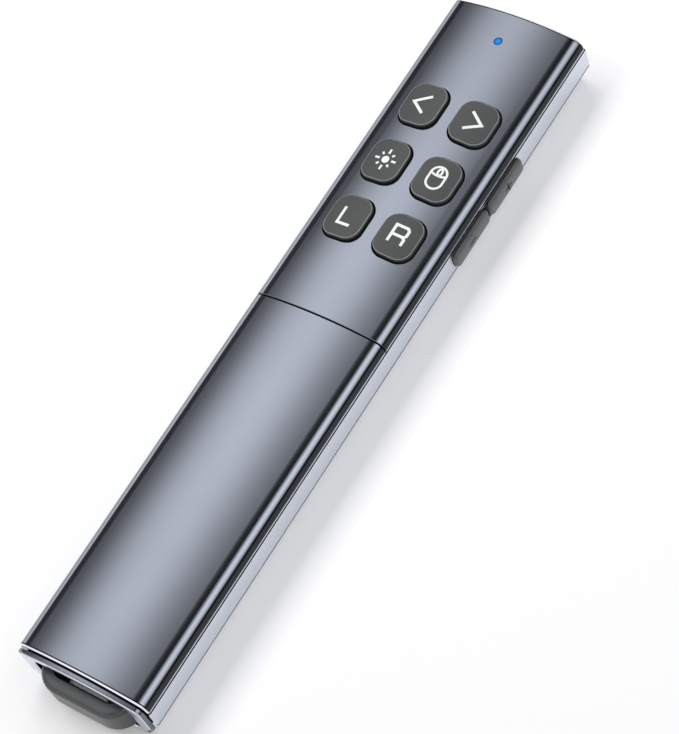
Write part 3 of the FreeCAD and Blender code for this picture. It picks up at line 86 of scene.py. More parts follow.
floor_paint = bpy.data.materials.new("floor_paint")
floor_paint.use_nodes = True
tree = floor_paint.node_tree
tree.nodes.clear()
floor_mat = tree.nodes.new("ShaderNodeBsdfDiffuse")
floor_mat.inputs["Color"].default_value = (0.80, 0.80, 0.81, 1)
floor_glow = tree.nodes.new("ShaderNodeEmission")
floor_glow.inputs["Strength"].default_value = floor_glow_strength
floor_both = tree.nodes.new("ShaderNodeAddShader")
floor_pick = tree.nodes.new("ShaderNodeMixShader")
floor_out = tree.nodes.new("ShaderNodeOutputMaterial")
tree.links.new(floor_mat.outputs[0], floor_both.inputs[0])
tree.links.new(floor_glow.outputs[0], floor_both.inputs[1])
tree.links.new(seen_by_eye(tree), floor_pick.inputs[0])
tree.links.new(floor_mat.outputs[0], floor_pick.inputs[1])
tree.links.new(floor_both.outputs[0], floor_pick.inputs[2])
tree.links.new(floor_pick.outputs[0], floor_out.inputs["Surface"])
floor_mesh.materials.append(floor_paint)


def glow_ramp(tree, value, low, high, stops):
    """A ramp of grey levels over a value that runs from low to high, through its stops."""
    share = tree.nodes.new("ShaderNodeMapRange")
    share.inputs["From Min"].default_value = low
    share.inputs["From Max"].default_value = high
    node = tree.nodes.new("ShaderNodeValToRGB")
    elements = node.color_ramp.elements
    while len(elements) < len(stops):
        elements.new(1.0)
    for element, (place, level) in zip(elements, stops):
        element.position = (place - low) / (high - low)
        element.color = (level, level, level, 1)
    tree.links.new(value, share.inputs["Value"])
    tree.links.new(share.outputs["Result"], node.inputs["Fac"])
    return node.outputs["Color"]


# What a polished surface sees above the floor, as a level for each direction. The side stops
# are in degrees from straight up towards the side keys: a low card on the other side, a soft
# box, a dark gap over the middle, and a broader and brighter soft box. The lengthwise stops
# run from the tail, -1, to the head, 1, and the wall stops from the horizon, 0, to the top, 1.
side_stops = [
    (-90, 1.4), (-84, 2.1), (-76, 2.2), (-71, 1.3), (-67, 0.3), (-63.5, 0.03), (-57, 0.03), (-54.5, 0.3),
    (-50, 0.42), (-44, 1.28), (-40, 1.88), (-36, 2.2), (-30, 2.48), (-24, 2.24), (-19.5, 1.78),
    (-15.4, 1.25), (-11, 0.86), (-7.6, 0.68), (-3, 0.03), (9, 0.03), (16, 1.2), (22, 2.5), (30, 3.0),
    (39, 2.95), (51, 2.0), (59, 1.0), (67, 0.3), (75, 0.04), (90, 0.04),
]
length_stops = [
    (-1, 0.3), (-0.3, 0.6), (0.05, 0.75), (0.21, 0.91), (0.28, 1.0), (0.33, 0.97), (0.43, 0.81),
    (0.6, 0.5), (1, 0.3),
]
end_card_stops = [(-1, 1.1), (-0.75, 1.0), (-0.6, 0), (0.85, 0), (1, 0.8)]
wall_stops = [(0, 1), (0.05, 1), (0.2, 0.02), (1, 0.02)]
fill_strength = 0.36

world = bpy.data.worlds.new("studio_walls")
bpy.context.scene.world = world
world.use_nodes = True
tree = world.node_tree
tree.nodes.clear()
sky_place = tree.nodes.new("ShaderNodeTexCoord")
sky_axes = tree.nodes.new("ShaderNodeSeparateXYZ")
sky_lean = tree.nodes.new("ShaderNodeMath")
sky_lean.operation = "ARCTAN2"
tree.links.new(sky_place.outputs["Generated"], sky_axes.inputs[0])
tree.links.new(sky_axes.outputs["X"], sky_lean.inputs[0])
tree.links.new(sky_axes.outputs["Z"], sky_lean.inputs[1])
in_radians = [(math.radians(degrees), level) for degrees, level in side_stops]
sides = glow_ramp(tree, sky_lean.outputs[0], in_radians[0][0], in_radians[-1][0], in_radians)
lengths = glow_ramp(tree, sky_axes.outputs["Y"], -1, 1, length_stops)
end_cards = glow_ramp(tree, sky_axes.outputs["Y"], -1, 1, end_card_stops)
walls = glow_ramp(tree, sky_axes.outputs["Z"], 0, 1, wall_stops)
boxes = tree.nodes.new("ShaderNodeVectorMath")
boxes.operation = "MULTIPLY"
tree.links.new(sides, boxes.inputs[0])
tree.links.new(lengths, boxes.inputs[1])
seen_glow = boxes.outputs[0]
for part_glow in (end_cards, walls):
    brighter = tree.nodes.new("ShaderNodeVectorMath")
    brighter.operation = "MAXIMUM"
    tree.links.new(seen_glow, brighter.inputs[0])
    tree.links.new(part_glow, brighter.inputs[1])
    seen_glow = brighter.outputs[0]
wall_glow = tree.nodes.new("ShaderNodeBackground")
fill_glow = tree.nodes.new("ShaderNodeBackground")
fill_glow.inputs["Color"].default_value = (1, 1, 1, 1)
fill_glow.inputs["Strength"].default_value = fill_strength
world_pick = tree.nodes.new("ShaderNodeMixShader")
world_out = tree.nodes.new("ShaderNodeOutputWorld")
tree.links.new(seen_glow, wall_glow.inputs["Color"])
tree.links.new(seen_by_eye(tree), world_pick.inputs[0])
tree.links.new(fill_glow.outputs[0], world_pick.inputs[1])
tree.links.new(wall_glow.outputs[0], world_pick.inputs[2])
tree.links.new(world_pick.outputs[0], world_out.inputs["Surface"])

lamp_away = 0.55
lamp_length = 0.9
lamp_ahead = 0.18


def soft_box(name, lean_degrees, width, watts):
    """A long area lamp above the clicker, turned to face it, that no mirror shows."""
    light = bpy.data.lights.new(name, "AREA")
    light.shape = "RECTANGLE"
    light.size = width
    light.size_y = lamp_length
    light.energy = watts
    lamp = bpy.data.objects.new(name, light)
    lean = math.radians(lean_degrees)
    lamp.location = (math.sin(lean) * lamp_away, lamp_ahead, math.cos(lean) * lamp_away)
    lamp.rotation_euler = (0, lean, 0)
    lamp.visible_glossy = False
    studio.objects.link(lamp)


soft_box("left_soft_box", lean_degrees=-29, width=0.24, watts=2.60)
soft_box("right_soft_box", lean_degrees=33, width=0.34, watts=1.00)

# Camera, at the viewing angle of the photograph: above the tail end, on the side of the
# side keys, rolled by 28 degrees, with a long lens.
camera_place = Vector((0.21995, -0.14253, 0.38187))
camera_target = Vector((0.00591, -0.0018, 0.006))
camera_roll = math.radians(-28.07)
sensor_width = 36.0
focal_pixels = 2793.4
frame_height_pixels = 734
camera_data = bpy.data.cameras.new("camera")
camera_data.sensor_width = sensor_width
camera_data.lens = focal_pixels * sensor_width / frame_height_pixels
camera_data.clip_start = 0.01
camera_data.clip_end = 20
camera = bpy.data.objects.new("camera", camera_data)
aim = (camera_target - camera_place).to_track_quat("-Z", "Y").to_matrix().to_4x4()
camera.matrix_world = Matrix.Translation(camera_place) @ aim @ Matrix.Rotation(camera_roll, 4, "Z")
studio.objects.link(camera)
bpy.context.scene.camera = camera
bpy.context.scene.view_settings.view_transform = "Standard"

# Base shell. The lower half of the body is extruded aluminium, bead blasted and anodised a
# pale lavender silver, with openings for side keys, switch and socket milled in its sides. The
# chamfer along its top edge and its tail end are cut bright. The parting above is painted black
# as shade, and a dark line of painted shade runs along the lower edge of the band.


def group_socket(tree, name, way, kind, default=None):
    """One named input or output of a node group."""
    socket = tree.interface.new_socket(name=name, in_out=way, socket_type=kind)
    if default is not None:
        socket.default_value = default


def map_range(tree, value, low, high):
    """A node that takes 0 to 1 into low to high; low and high are numbers or sockets."""
    node = tree.nodes.new("ShaderNodeMapRange")
    tree.links.new(value, node.inputs["Value"])
    for name, end in (("To Min", low), ("To Max", high)):
        if isinstance(end, (int, float)):
            node.inputs[name].default_value = end
        else:
            tree.links.new(end, node.inputs[name])
    return node.outputs["Result"]


# Shared group: the fine even grain of a blasted, painted or moulded skin.
grain = bpy.data.node_groups.new("surface_grain", "ShaderNodeTree")
group_socket(grain, "Grains per metre", "INPUT", "NodeSocketFloat", 4000)
group_socket(grain, "Smoothest", "INPUT", "NodeSocketFloat", 0.3)
group_socket(grain, "Roughest", "INPUT", "NodeSocketFloat", 0.4)
group_socket(grain, "Roughness", "OUTPUT", "NodeSocketFloat")
group_socket(grain, "Height", "OUTPUT", "NodeSocketFloat")
grain_in = grain.nodes.new("NodeGroupInput")
grain_out = grain.nodes.new("NodeGroupOutput")
grain_place = grain.nodes.new("ShaderNodeTexCoord")
grain_fine = grain.nodes.new("ShaderNodeTexNoise")
grain_fine.inputs["Detail"].default_value = 3
grain.links.new(grain_place.outputs["Object"], grain_fine.inputs["Vector"])
grain.links.new(grain_in.outputs["Grains per metre"], grain_fine.inputs["Scale"])
grain_rough = map_range(
    grain, grain_fine.outputs["Fac"], grain_in.outputs["Smoothest"], grain_in.outputs["Roughest"]
)
grain.links.new(grain_rough, grain_out.inputs["Roughness"])
grain.links.new(grain_fine.outputs["Fac"], grain_out.inputs["Height"])

# A Mix node's colour sockets go by their place, since its number sockets share their names.
mix_shade, mix_other, mix_result = 6, 7, 2

# Shared group: a slight cloudy drift between two near shades of one colour.
drift = bpy.data.node_groups.new("shade_drift", "ShaderNodeTree")
group_socket(drift, "Shade", "INPUT", "NodeSocketColor", (0.5, 0.5, 0.5, 1))
group_socket(drift, "Other shade", "INPUT", "NodeSocketColor", (0.5, 0.5, 0.5, 1))
group_socket(drift, "Clouds per metre", "INPUT", "NodeSocketFloat", 120)
group_socket(drift, "Color", "OUTPUT", "NodeSocketColor")
drift_in = drift.nodes.new("NodeGroupInput")
drift_out = drift.nodes.new("NodeGroupOutput")
drift_place = drift.nodes.new("ShaderNodeTexCoord")
drift_noise = drift.nodes.new("ShaderNodeTexNoise")
drift_mix = drift.nodes.new("ShaderNodeMix")
drift_mix.data_type = "RGBA"
drift.links.new(drift_place.outputs["Object"], drift_noise.inputs["Vector"])
drift.links.new(drift_in.outputs["Clouds per metre"], drift_noise.inputs["Scale"])
drift.links.new(drift_noise.outputs["Fac"], drift_mix.inputs["Factor"])
drift.links.new(drift_in.outputs["Shade"], drift_mix.inputs[mix_shade])
drift.links.new(drift_in.outputs["Other shade"], drift_mix.inputs[mix_other])
drift.links.new(drift_mix.outputs[mix_result], drift_out.inputs["Color"])

# Shared group: 1 inside a box, 0 outside, in metres, with x counted outward from the middle.
inside_box = bpy.data.node_groups.new("inside_box", "ShaderNodeTree")
group_socket(inside_box, "Low corner", "INPUT", "NodeSocketVector")
group_socket(inside_box, "High corner", "INPUT", "NodeSocketVector")
group_socket(inside_box, "Softness", "INPUT", "NodeSocketFloat", 0.00003)
group_socket(inside_box, "Mask", "OUTPUT", "NodeSocketFloat")
box_in = inside_box.nodes.new("NodeGroupInput")
box_out = inside_box.nodes.new("NodeGroupOutput")
box_place = inside_box.nodes.new("ShaderNodeTexCoord")
outward = inside_box.nodes.new("ShaderNodeSeparateXYZ")
inside_box.links.new(box_place.outputs["Object"], outward.inputs[0])
outward_x = inside_box.nodes.new("ShaderNodeMath")
outward_x.operation = "ABSOLUTE"
inside_box.links.new(outward.outputs["X"], outward_x.inputs[0])
corner_axes = []
for corner_name in ("Low corner", "High corner"):
    axes_node = inside_box.nodes.new("ShaderNodeSeparateXYZ")
    inside_box.links.new(box_in.outputs[corner_name], axes_node.inputs[0])
    corner_axes.append(axes_node)
mask_so_far = None
for axis, here in (("X", outward_x.outputs[0]), ("Y", outward.outputs["Y"]), ("Z", outward.outputs["Z"])):
    for corner_node, upper in zip(corner_axes, (False, True)):
        depth_in = inside_box.nodes.new("ShaderNodeMath")
        depth_in.operation = "SUBTRACT"
        ends = (corner_node.outputs[axis], here) if upper else (here, corner_node.outputs[axis])
        inside_box.links.new(ends[0], depth_in.inputs[0])
        inside_box.links.new(ends[1], depth_in.inputs[1])
        fade = inside_box.nodes.new("ShaderNodeMath")
        fade.operation = "DIVIDE"
        fade.use_clamp = True
        inside_box.links.new(depth_in.outputs[0], fade.inputs[0])
        inside_box.links.new(box_in.outputs["Softness"], fade.inputs[1])
        if mask_so_far is None:
            mask_so_far = fade.outputs[0]
            continue
        both = inside_box.nodes.new("ShaderNodeMath")
        both.operation = "MULTIPLY"
        inside_box.links.new(mask_so_far, both.inputs[0])
        inside_box.links.new(fade.outputs[0], both.inputs[1])
        mask_so_far = both.outputs[0]
inside_box.links.new(mask_so_far, box_out.inputs["Mask"])

# Shared group: the fine lines of a turned, drawn or brushed metal, close together one way.
tool_lines = bpy.data.node_groups.new("tool_lines", "ShaderNodeTree")
group_socket(tool_lines, "Lines per metre", "INPUT", "NodeSocketVector", (100, 8000, 100))
group_socket(tool_lines, "Smoothest", "INPUT", "NodeSocketFloat", 0.2)
group_socket(tool_lines, "Roughest", "INPUT", "NodeSocketFloat", 0.4)
group_socket(tool_lines, "Roughness", "OUTPUT", "NodeSocketFloat")
group_socket(tool_lines, "Height", "OUTPUT", "NodeSocketFloat")
lines_in = tool_lines.nodes.new("NodeGroupInput")
lines_out = tool_lines.nodes.new("NodeGroupOutput")
lines_place = tool_lines.nodes.new("ShaderNodeTexCoord")
lines_stretch = tool_lines.nodes.new("ShaderNodeVectorMath")
lines_stretch.operation = "MULTIPLY"
lines_noise = tool_lines.nodes.new("ShaderNodeTexNoise")
lines_noise.inputs["Scale"].default_value = 1
tool_lines.links.new(lines_place.outputs["Object"], lines_stretch.inputs[0])
tool_lines.links.new(lines_in.outputs["Lines per metre"], lines_stretch.inputs[1])
tool_lines.links.new(lines_stretch.outputs[0], lines_noise.inputs["Vector"])
lines_rough = map_range(
    tool_lines, lines_noise.outputs["Fac"], lines_in.outputs["Smoothest"], lines_in.outputs["Roughest"]
)
tool_lines.links.new(lines_rough, lines_out.inputs["Roughness"])
tool_lines.links.new(lines_noise.outputs["Fac"], lines_out.inputs["Height"])

# Painted boxes are in millimetres. Far lies beyond every face, so that a span can be open.
far = 99
open_span = (-far, far)


class Finish:
    """A material under construction: its shader, and the shared groups placed in it."""

    def __init__(self, name, metallic=0.0, coat=0.0):
        self.material = bpy.data.materials.new(name)
        self.material.use_nodes = True
        self.tree = self.material.node_tree
        self.shader = self.tree.nodes["Principled BSDF"]
        self.shader.inputs["Metallic"].default_value = metallic
        self.shader.inputs["Coat Weight"].default_value = coat

    def shades(self, shade, other, clouds=120):
        """Base colour that drifts between two near shades, in so many clouds per metre."""
        node = self.tree.nodes.new("ShaderNodeGroup")
        node.node_tree = drift
        node.inputs["Shade"].default_value = (*shade, 1)
        node.inputs["Other shade"].default_value = (*other, 1)
        node.inputs["Clouds per metre"].default_value = clouds
        self.colour = node.outputs["Color"]
        self.tree.links.new(self.colour, self.shader.inputs["Base Color"])

    def grains(self, per_metre, smoothest, roughest, depth):
        """An even skin: grains per metre, its least and most roughness, and its depth."""
        self.textures(grain, "Grains per metre", per_metre, smoothest, roughest, depth)

    def lines(self, per_metre, smoothest, roughest, depth):
        """A skin with tool lines, counted per metre along x, y and z; the rest as for grains."""
        self.textures(tool_lines, "Lines per metre", per_metre, smoothest, roughest, depth)

    def textures(self, group, count_name, per_metre, smoothest, roughest, depth):
        """Roughness and relief from one of the shared groups."""
        node = self.tree.nodes.new("ShaderNodeGroup")
        node.node_tree = group
        node.inputs[count_name].default_value = per_metre
        node.inputs["Smoothest"].default_value = smoothest
        node.inputs["Roughest"].default_value = roughest
        self.roughness = node.outputs["Roughness"]
        self.tree.links.new(self.roughness, self.shader.inputs["Roughness"])
        self.bumps(node.outputs["Height"], depth)

    def bumps(self, height, depth):
        """Adds relief of that depth to what the material has so far."""
        bump = self.tree.nodes.new("ShaderNodeBump")
        bump.inputs["Distance"].default_value = depth
        self.tree.links.new(height, bump.inputs["Height"])
        if self.shader.inputs["Normal"].links:
            self.tree.links.new(self.shader.inputs["Normal"].links[0].from_socket, bump.inputs["Normal"])
        self.tree.links.new(bump.outputs["Normal"], self.shader.inputs["Normal"])

    def paints(self, mask, colour, roughness=None):
        """Another colour, and roughness if given, where the mask is 1."""
        mix = self.tree.nodes.new("ShaderNodeMix")
        mix.data_type = "RGBA"
        self.tree.links.new(mask, mix.inputs["Factor"])
        self.tree.links.new(self.colour, mix.inputs[mix_shade])
        mix.inputs[mix_other].default_value = (*colour, 1)
        self.colour = mix.outputs[mix_result]
        self.tree.links.new(self.colour, self.shader.inputs["Base Color"])
        if roughness is not None:
            mix = self.tree.nodes.new("ShaderNodeMix")
            self.tree.links.new(mask, mix.inputs["Factor"])
            self.tree.links.new(self.roughness, mix.inputs["A"])
            mix.inputs["B"].default_value = roughness
            self.roughness = mix.outputs["Result"]
            self.tree.links.new(self.roughness, self.shader.inputs["Roughness"])

    def paints_box(self, colour, roughness=None, x=open_span, y=open_span, z=open_span, softness=0.03):
        """Paints inside a box of three spans in millimetres, x counted outward from the middle."""
        node = self.tree.nodes.new("ShaderNodeGroup")
        node.node_tree = inside_box
        node.inputs["Low corner"].default_value = [span[0] * mm for span in (x, y, z)]
        node.inputs["High corner"].default_value = [span[1] * mm for span in (x, y, z)]
        node.inputs["Softness"].default_value = softness * mm
        self.paints(node.outputs["Mask"], colour, roughness)


def finish_nodes(material, *names):
    """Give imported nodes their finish."""
    for name in names:
        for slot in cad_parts[name].material_slots:
            slot.material = material


# Painted shade: black put in the gaps, partings, slots and hidden insides, where shade falls.
painted_shade_black = (0.010, 0.011, 0.014)
gap_rough = 0.6
cut_silver = (0.80, 0.82, 0.93)
band_edge_painted_shade = (0.05, 0.055, 0.07)

inner_side, inner_height = (-far, 12.82), (7.6, far)
chamfer_side, chamfer_height = (12.83, far), (7.74, 7.92)
parting_side, parting_length, parting_height = (12.5, far), (-67.4, far), (7.91, far)
band_side, band_edge_height, band_softness = (12.7, far), (3.8, 4.12), 0.05
cut_tail = (-far, -67.5)

base_finish = Finish("anodised_silver", metallic=1.0)
base_finish.shades((0.66, 0.695, 0.77), (0.73, 0.765, 0.84), clouds=1500)
base_finish.grains(9000, 0.26, 0.36, 0.004 * mm)
# Painted shade: black on the rim inside the covers and on the parting under their lips.
base_finish.paints_box(painted_shade_black, gap_rough, x=inner_side, z=inner_height)
base_finish.paints_box(cut_silver, x=chamfer_side, z=chamfer_height)
base_finish.paints_box(painted_shade_black, gap_rough, x=parting_side, y=parting_length, z=parting_height)
# Painted shade: a dark line along the lower edge of the band.
base_finish.paints_box(band_edge_painted_shade, x=band_side, z=band_edge_height, softness=band_softness)
base_finish.paints_box(cut_silver, y=cut_tail)
finish_nodes(base_finish.material, "base_shell")

# Covers. Two pressed aluminium covers with rounded shoulders, anodised gunmetal, their end
# edges cut bright afterwards. They are snapped into the base by tongues under their edges.
cover_finish = Finish("anodised_gunmetal", metallic=1.0)
cover_finish.shades((0.190, 0.206, 0.243), (0.204, 0.220, 0.259))
cover_finish.grains(9000, 0.14, 0.19, 0.002 * mm)
shoulder_start, shoulder_end, shoulder_drop = 10.25 * mm, 12.3 * mm, 0.105 * mm
cover_place = cover_finish.tree.nodes.new("ShaderNodeTexCoord")
cover_axes = cover_finish.tree.nodes.new("ShaderNodeSeparateXYZ")
cover_side = cover_finish.tree.nodes.new("ShaderNodeMath")
cover_side.operation = "ABSOLUTE"
shoulder_ease = cover_finish.tree.nodes.new("ShaderNodeMapRange")
shoulder_ease.interpolation_type = "SMOOTHSTEP"
shoulder_ease.inputs["From Min"].default_value = shoulder_start
shoulder_ease.inputs["From Max"].default_value = shoulder_end
shoulder_ease.inputs["To Min"].default_value = 1
shoulder_ease.inputs["To Max"].default_value = 0
cover_finish.tree.links.new(cover_place.outputs["Object"], cover_axes.inputs[0])
cover_finish.tree.links.new(cover_axes.outputs["X"], cover_side.inputs[0])
cover_finish.tree.links.new(cover_side.outputs[0], shoulder_ease.inputs["Value"])
cover_finish.bumps(shoulder_ease.outputs["Result"], shoulder_drop)

# Lines across the covers, from y to y in millimetres: at the tail end, at the head end and at
# the seam between the two. The bright lines are cut silver and the black ones are painted shade
# in the gaps. Then the foot of the shoulders, with a painted dark reflection, their lips, and
# the hidden inside, painted black as shade.
cover_skin = (8.3, far)
end_gunmetal = (0.11, 0.118, 0.14)
cover_lines = [
    (cut_silver, (-far, -67.19)),
    (painted_shade_black, (-67.22, -66.98)),
    (painted_shade_black, (-far, -67.45)),
    (cut_silver, (67.19, far)),
    (painted_shade_black, (66.98, 67.22)),
    (end_gunmetal, (67.40, far)),
    (cut_silver, (2.66, 2.79)),
    (painted_shade_black, (2.76, 3.03)),
]
for colour, line_span in cover_lines:
    cover_finish.paints_box(colour, y=line_span, z=cover_skin)
# Painted dark reflection along the foot of the shoulders, and painted black shade on the hidden inside.
foot_painted_dark_reflection, foot_softness = (0.036, 0.039, 0.047), 0.12
foot_side, foot_length, foot_height = (12.42, far), (-67.3, far), (8.66, far)
cover_lip_side, cover_lip_height = (12.7, far), (8.2, 8.6)
hidden_side, hidden_height = (-far, 12.8), (-far, 8.45)
cover_finish.paints_box(foot_painted_dark_reflection, x=foot_side, y=foot_length, z=foot_height, softness=foot_softness)
cover_finish.paints_box(cut_silver, x=cover_lip_side, z=cover_lip_height)
cover_finish.paints_box(painted_shade_black, x=hidden_side, z=hidden_height)
finish_nodes(cover_finish.material, "front_cover", "rear_cover")

# Tail cap. A milled aluminium end piece in a shinier silver than the base. Its rim is
# gunmetal. A thin black line of painted shade runs round the foot of its raised face, and its
# inside and its slot are painted black as shade.
cap_rim_shade = (0.16, 0.17, 0.20)
cap_rim, cap_line, cap_inside = (-68.33, -67.8), (-68.40, -68.31), (-67.88, far)
slot_width, slot_length, slot_height = (-far, 9.76), (-68.42, far), (1.42, 9.98)
cap_finish = Finish("bright_silver", metallic=1.0)
cap_finish.shades((0.60, 0.63, 0.73), (0.64, 0.67, 0.77))
cap_finish.grains(9000, 0.16, 0.24, 0.002 * mm)
cap_finish.paints_box(cap_rim_shade, y=cap_rim)
# Painted shade: the line round the raised face, the inside behind the rim and the slot.
cap_finish.paints_box(painted_shade_black, y=cap_line)
cap_finish.paints_box(painted_shade_black, gap_rough, y=cap_inside)
cap_finish.paints_box(painted_shade_black, gap_rough, x=slot_width, y=slot_length, z=slot_height)
finish_nodes(cap_finish.material, "tail_cap")

# Front keys. Six moulded keys in smooth dark grey plastic, each crowned like the cover,
# with its sign printed in white. They stand proud of the cover and carry a flange inside.
key_finish = Finish("smooth_grey_plastic")
key_finish.shades((0.044, 0.048, 0.049), (0.054, 0.058, 0.058), clouds=300)
key_finish.grains(6000, 0.34, 0.44, 0.003 * mm)
cover_crown_radius = 56.105 * mm
key_stands_out = 0.84 * mm
key_crown_radius = cover_crown_radius + key_stands_out
crown_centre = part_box("front_cover")[1][2] - cover_crown_radius
key_place = key_finish.tree.nodes.new("ShaderNodeTexCoord")
key_from_centre = key_finish.tree.nodes.new("ShaderNodeVectorMath")
key_from_centre.operation = "SUBTRACT"
key_from_centre.inputs[1].default_value = (0, 0, crown_centre)
key_flat = key_finish.tree.nodes.new("ShaderNodeVectorMath")
key_flat.operation = "MULTIPLY"
key_flat.inputs[1].default_value = (1, 0, 1)
key_reach = key_finish.tree.nodes.new("ShaderNodeVectorMath")
key_reach.operation = "LENGTH"
key_depth = key_finish.tree.nodes.new("ShaderNodeMath")
key_depth.operation = "SUBTRACT"
key_depth.inputs[0].default_value = key_crown_radius
key_finish.tree.links.new(key_place.outputs["Object"], key_from_centre.inputs[0])
key_finish.tree.links.new(key_from_centre.outputs[0], key_flat.inputs[0])
key_finish.tree.links.new(key_flat.outputs[0], key_reach.inputs[0])
key_finish.tree.links.new(key_reach.outputs["Value"], key_depth.inputs[1])

# How much each tone shows at each depth below the key's top: a thin bright line round the
# rim as a painted highlight, the skirt below it painted lighter as painted light where the lamps
# reach it less, and the dark gap further down as painted shade.
deepest = 1 * mm
rim_highlight_stops = [(0, 0), (0.012 * mm, 0), (0.025 * mm, 1), (0.10 * mm, 1), (0.13 * mm, 0), (deepest, 0)]
skirt_painted_light_stops = [(0, 0), (0.14 * mm, 0), (0.2 * mm, 1), (deepest, 1)]
gap_painted_shade_stops = [(0, 0), (0.5 * mm, 0), (0.6 * mm, 1), (deepest, 1)]
for stops, colour, roughness in (
    (rim_highlight_stops, (0.25, 0.27, 0.26), 0.3),
    (skirt_painted_light_stops, (0.075, 0.080, 0.080), 0.5),
    (gap_painted_shade_stops, (0.008, 0.009, 0.010), gap_rough),
):
    shown = glow_ramp(key_finish.tree, key_depth.outputs[0], 0, deepest, stops)
    key_finish.paints(shown, colour, roughness)
key_names = ["key_previous", "key_next", "key_laser", "key_mouse", "key_left", "key_right"]
finish_nodes(key_finish.material, *key_names)

sign_finish = Finish("white_print")
sign_finish.shades((0.86, 0.87, 0.87), (0.90, 0.90, 0.90))
sign_finish.grains(5000, 0.45, 0.6, 0.002 * mm)

ink_height = 0.024 * mm
sign_step = 0.3 * mm
mitre_limit = 0.5


def arc_points(across, along, half_width, half_length, start, end, steps=28):
    """Points on part of an ellipse, angles in degrees."""
    points = []
    for step in range(steps + 1):
        angle = math.radians(start + (end - start) * step / steps)
        points.append((across + half_width * math.cos(angle), along + half_length * math.sin(angle)))
    return points


def stroke_faces(mesh, points, width, closed, place):
    """Add one printed stroke: a flat ribbon of even width with mitred corners."""
    count = len(points)
    rows = []
    for index, point in enumerate(points):
        here = Vector(point)
        before = Vector(points[index - 1]) if closed or index else None
        after = Vector(points[(index + 1) % count]) if closed or index < count - 1 else None
        way_in = (here - before).normalized() if before is not None else (after - here).normalized()
        way_out = (after - here).normalized() if after is not None else way_in
        across = Vector((-way_in.y - way_out.y, way_in.x + way_out.x)).normalized()
        reach = width / 2 / max(mitre_limit, across.dot(Vector((-way_in.y, way_in.x))))
        rows.append([mesh.verts.new(place(here + across * side * reach)) for side in (-1, 1)])
    last = count if closed else count - 1
    for index in range(last):
        first, second = rows[index], rows[(index + 1) % count]
        mesh.faces.new((first[0], second[0], second[1], first[1]))


def in_short_steps(points, closed):
    """The same line with a point about every step, so that it can follow a curved key."""
    ends = points + points[:1] if closed else points
    fine_points = []
    for (x0, y0), (x1, y1) in zip(ends, ends[1:]):
        steps = max(1, round(math.hypot(x1 - x0, y1 - y0) / sign_step))
        fine_points += [(x0 + (x1 - x0) * i / steps, y0 + (y1 - y0) * i / steps) for i in range(steps)]
    return fine_points if closed else fine_points + points[-1:]


def disc_face(mesh, points, place):
    """Add one filled printed shape."""
    mesh.faces.new([mesh.verts.new(place(Vector(point))) for point in points])


def printed_sign(name, body, material, strokes, discs, width, place):
    """A printed sign as a thin raised mesh that rides on its key."""
    mesh = bmesh.new()
    for points, closed in strokes:
        stroke_faces(mesh, in_short_steps(points, closed), width, closed, place)
    for points in discs:
        disc_face(mesh, points, place)
    bmesh.ops.triangulate(mesh, faces=[face for face in mesh.faces if len(face.verts) > 4])
    bmesh.ops.recalc_face_normals(mesh, faces=mesh.faces)
    data = bpy.data.meshes.new(name)
    mesh.to_mesh(data)
    mesh.free()
    data.materials.append(material)
    sign = bpy.data.objects.new(name, data)
    bpy.context.scene.collection.objects.link(sign)
    thickness = sign.modifiers.new("ink", "SOLIDIFY")
    thickness.thickness = ink_height
    thickness.offset = 0
    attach(sign, body)


stroke_width = 0.52 * mm
outline_width = 0.40 * mm

# The signs are in millimetres from each key's middle: strokes, each open or closed, then
# filled shapes, then the strokes' width.
ray_count = 8
ray_long, ray_short, ray_start, dot_radius = 2.1, 1.75, 1.2, 0.7
sun_rays = []
for turn in range(ray_count):
    angle = math.radians(360 / ray_count * turn)
    reach = ray_short if turn % 2 else ray_long
    direction = Vector((math.cos(angle), math.sin(angle)))
    sun_rays.append(([tuple(direction * ray_start), tuple(direction * reach)], False))
mouse_half, mouse_front, mouse_back = 1.45, 0.9, -0.5
mouse_outline = arc_points(0, mouse_front, mouse_half, mouse_half, 0, 180)
mouse_outline += arc_points(0, mouse_back, mouse_half, mouse_half, 180, 360)
letter_bowl = [
    (-1.25, -1.45), (-1.25, 1.9), (0.95, 1.9), (1.35, 1.5), (1.35, 0.5), (0.95, 0.1), (-1.25, 0.1),
]
signs = {
    "key_previous": ([([(1.0, 1.85), (-1.8, 0.05), (0.85, -1.75)], False)], [], stroke_width),
    "key_next": ([([(-1.1, 1.9), (1.6, 0.0), (-1.15, -1.7)], False)], [], stroke_width),
    "key_laser": (sun_rays, [arc_points(0, 0, dot_radius, dot_radius, 0, 360)[:-1]], outline_width),
    "key_mouse": (
        [
            (mouse_outline, True),
            (arc_points(0, 1.4, 1.7, 0.8, 206, 334), False),
            (arc_points(0.05, 1.35, 0.38, 0.62, 0, 360)[:-1], True),
            ([(0, 2.35), (0, 1.85)], False),
        ],
        [],
        outline_width,
    ),
    "key_left": ([([(-1.18, 1.6), (-1.18, -1.6), (1.3, -1.6)], False)], [], stroke_width),
    "key_right": (
        [(letter_bowl, False), ([(0.95, 0.1), (1.3, -0.3), (1.3, -1.45)], False)],
        [],
        stroke_width,
    ),
}
for name, (strokes, discs, width) in signs.items():
    low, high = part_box(name)
    middle_x = (low[0] + high[0]) / 2
    middle_y = (low[1] + high[1]) / 2

    def on_key(point, middle_x=middle_x, middle_y=middle_y):
        x = middle_x + point.x
        return (x, middle_y + point.y, crown_centre + math.sqrt(key_crown_radius ** 2 - x * x))

    in_metres = [([(a * mm, b * mm) for a, b in points], closed) for points, closed in strokes]
    fills = [[(a * mm, b * mm) for a, b in points] for points in discs]
    printed_sign(name + "_sign", name, sign_finish.material, in_metres, fills, width, on_key)

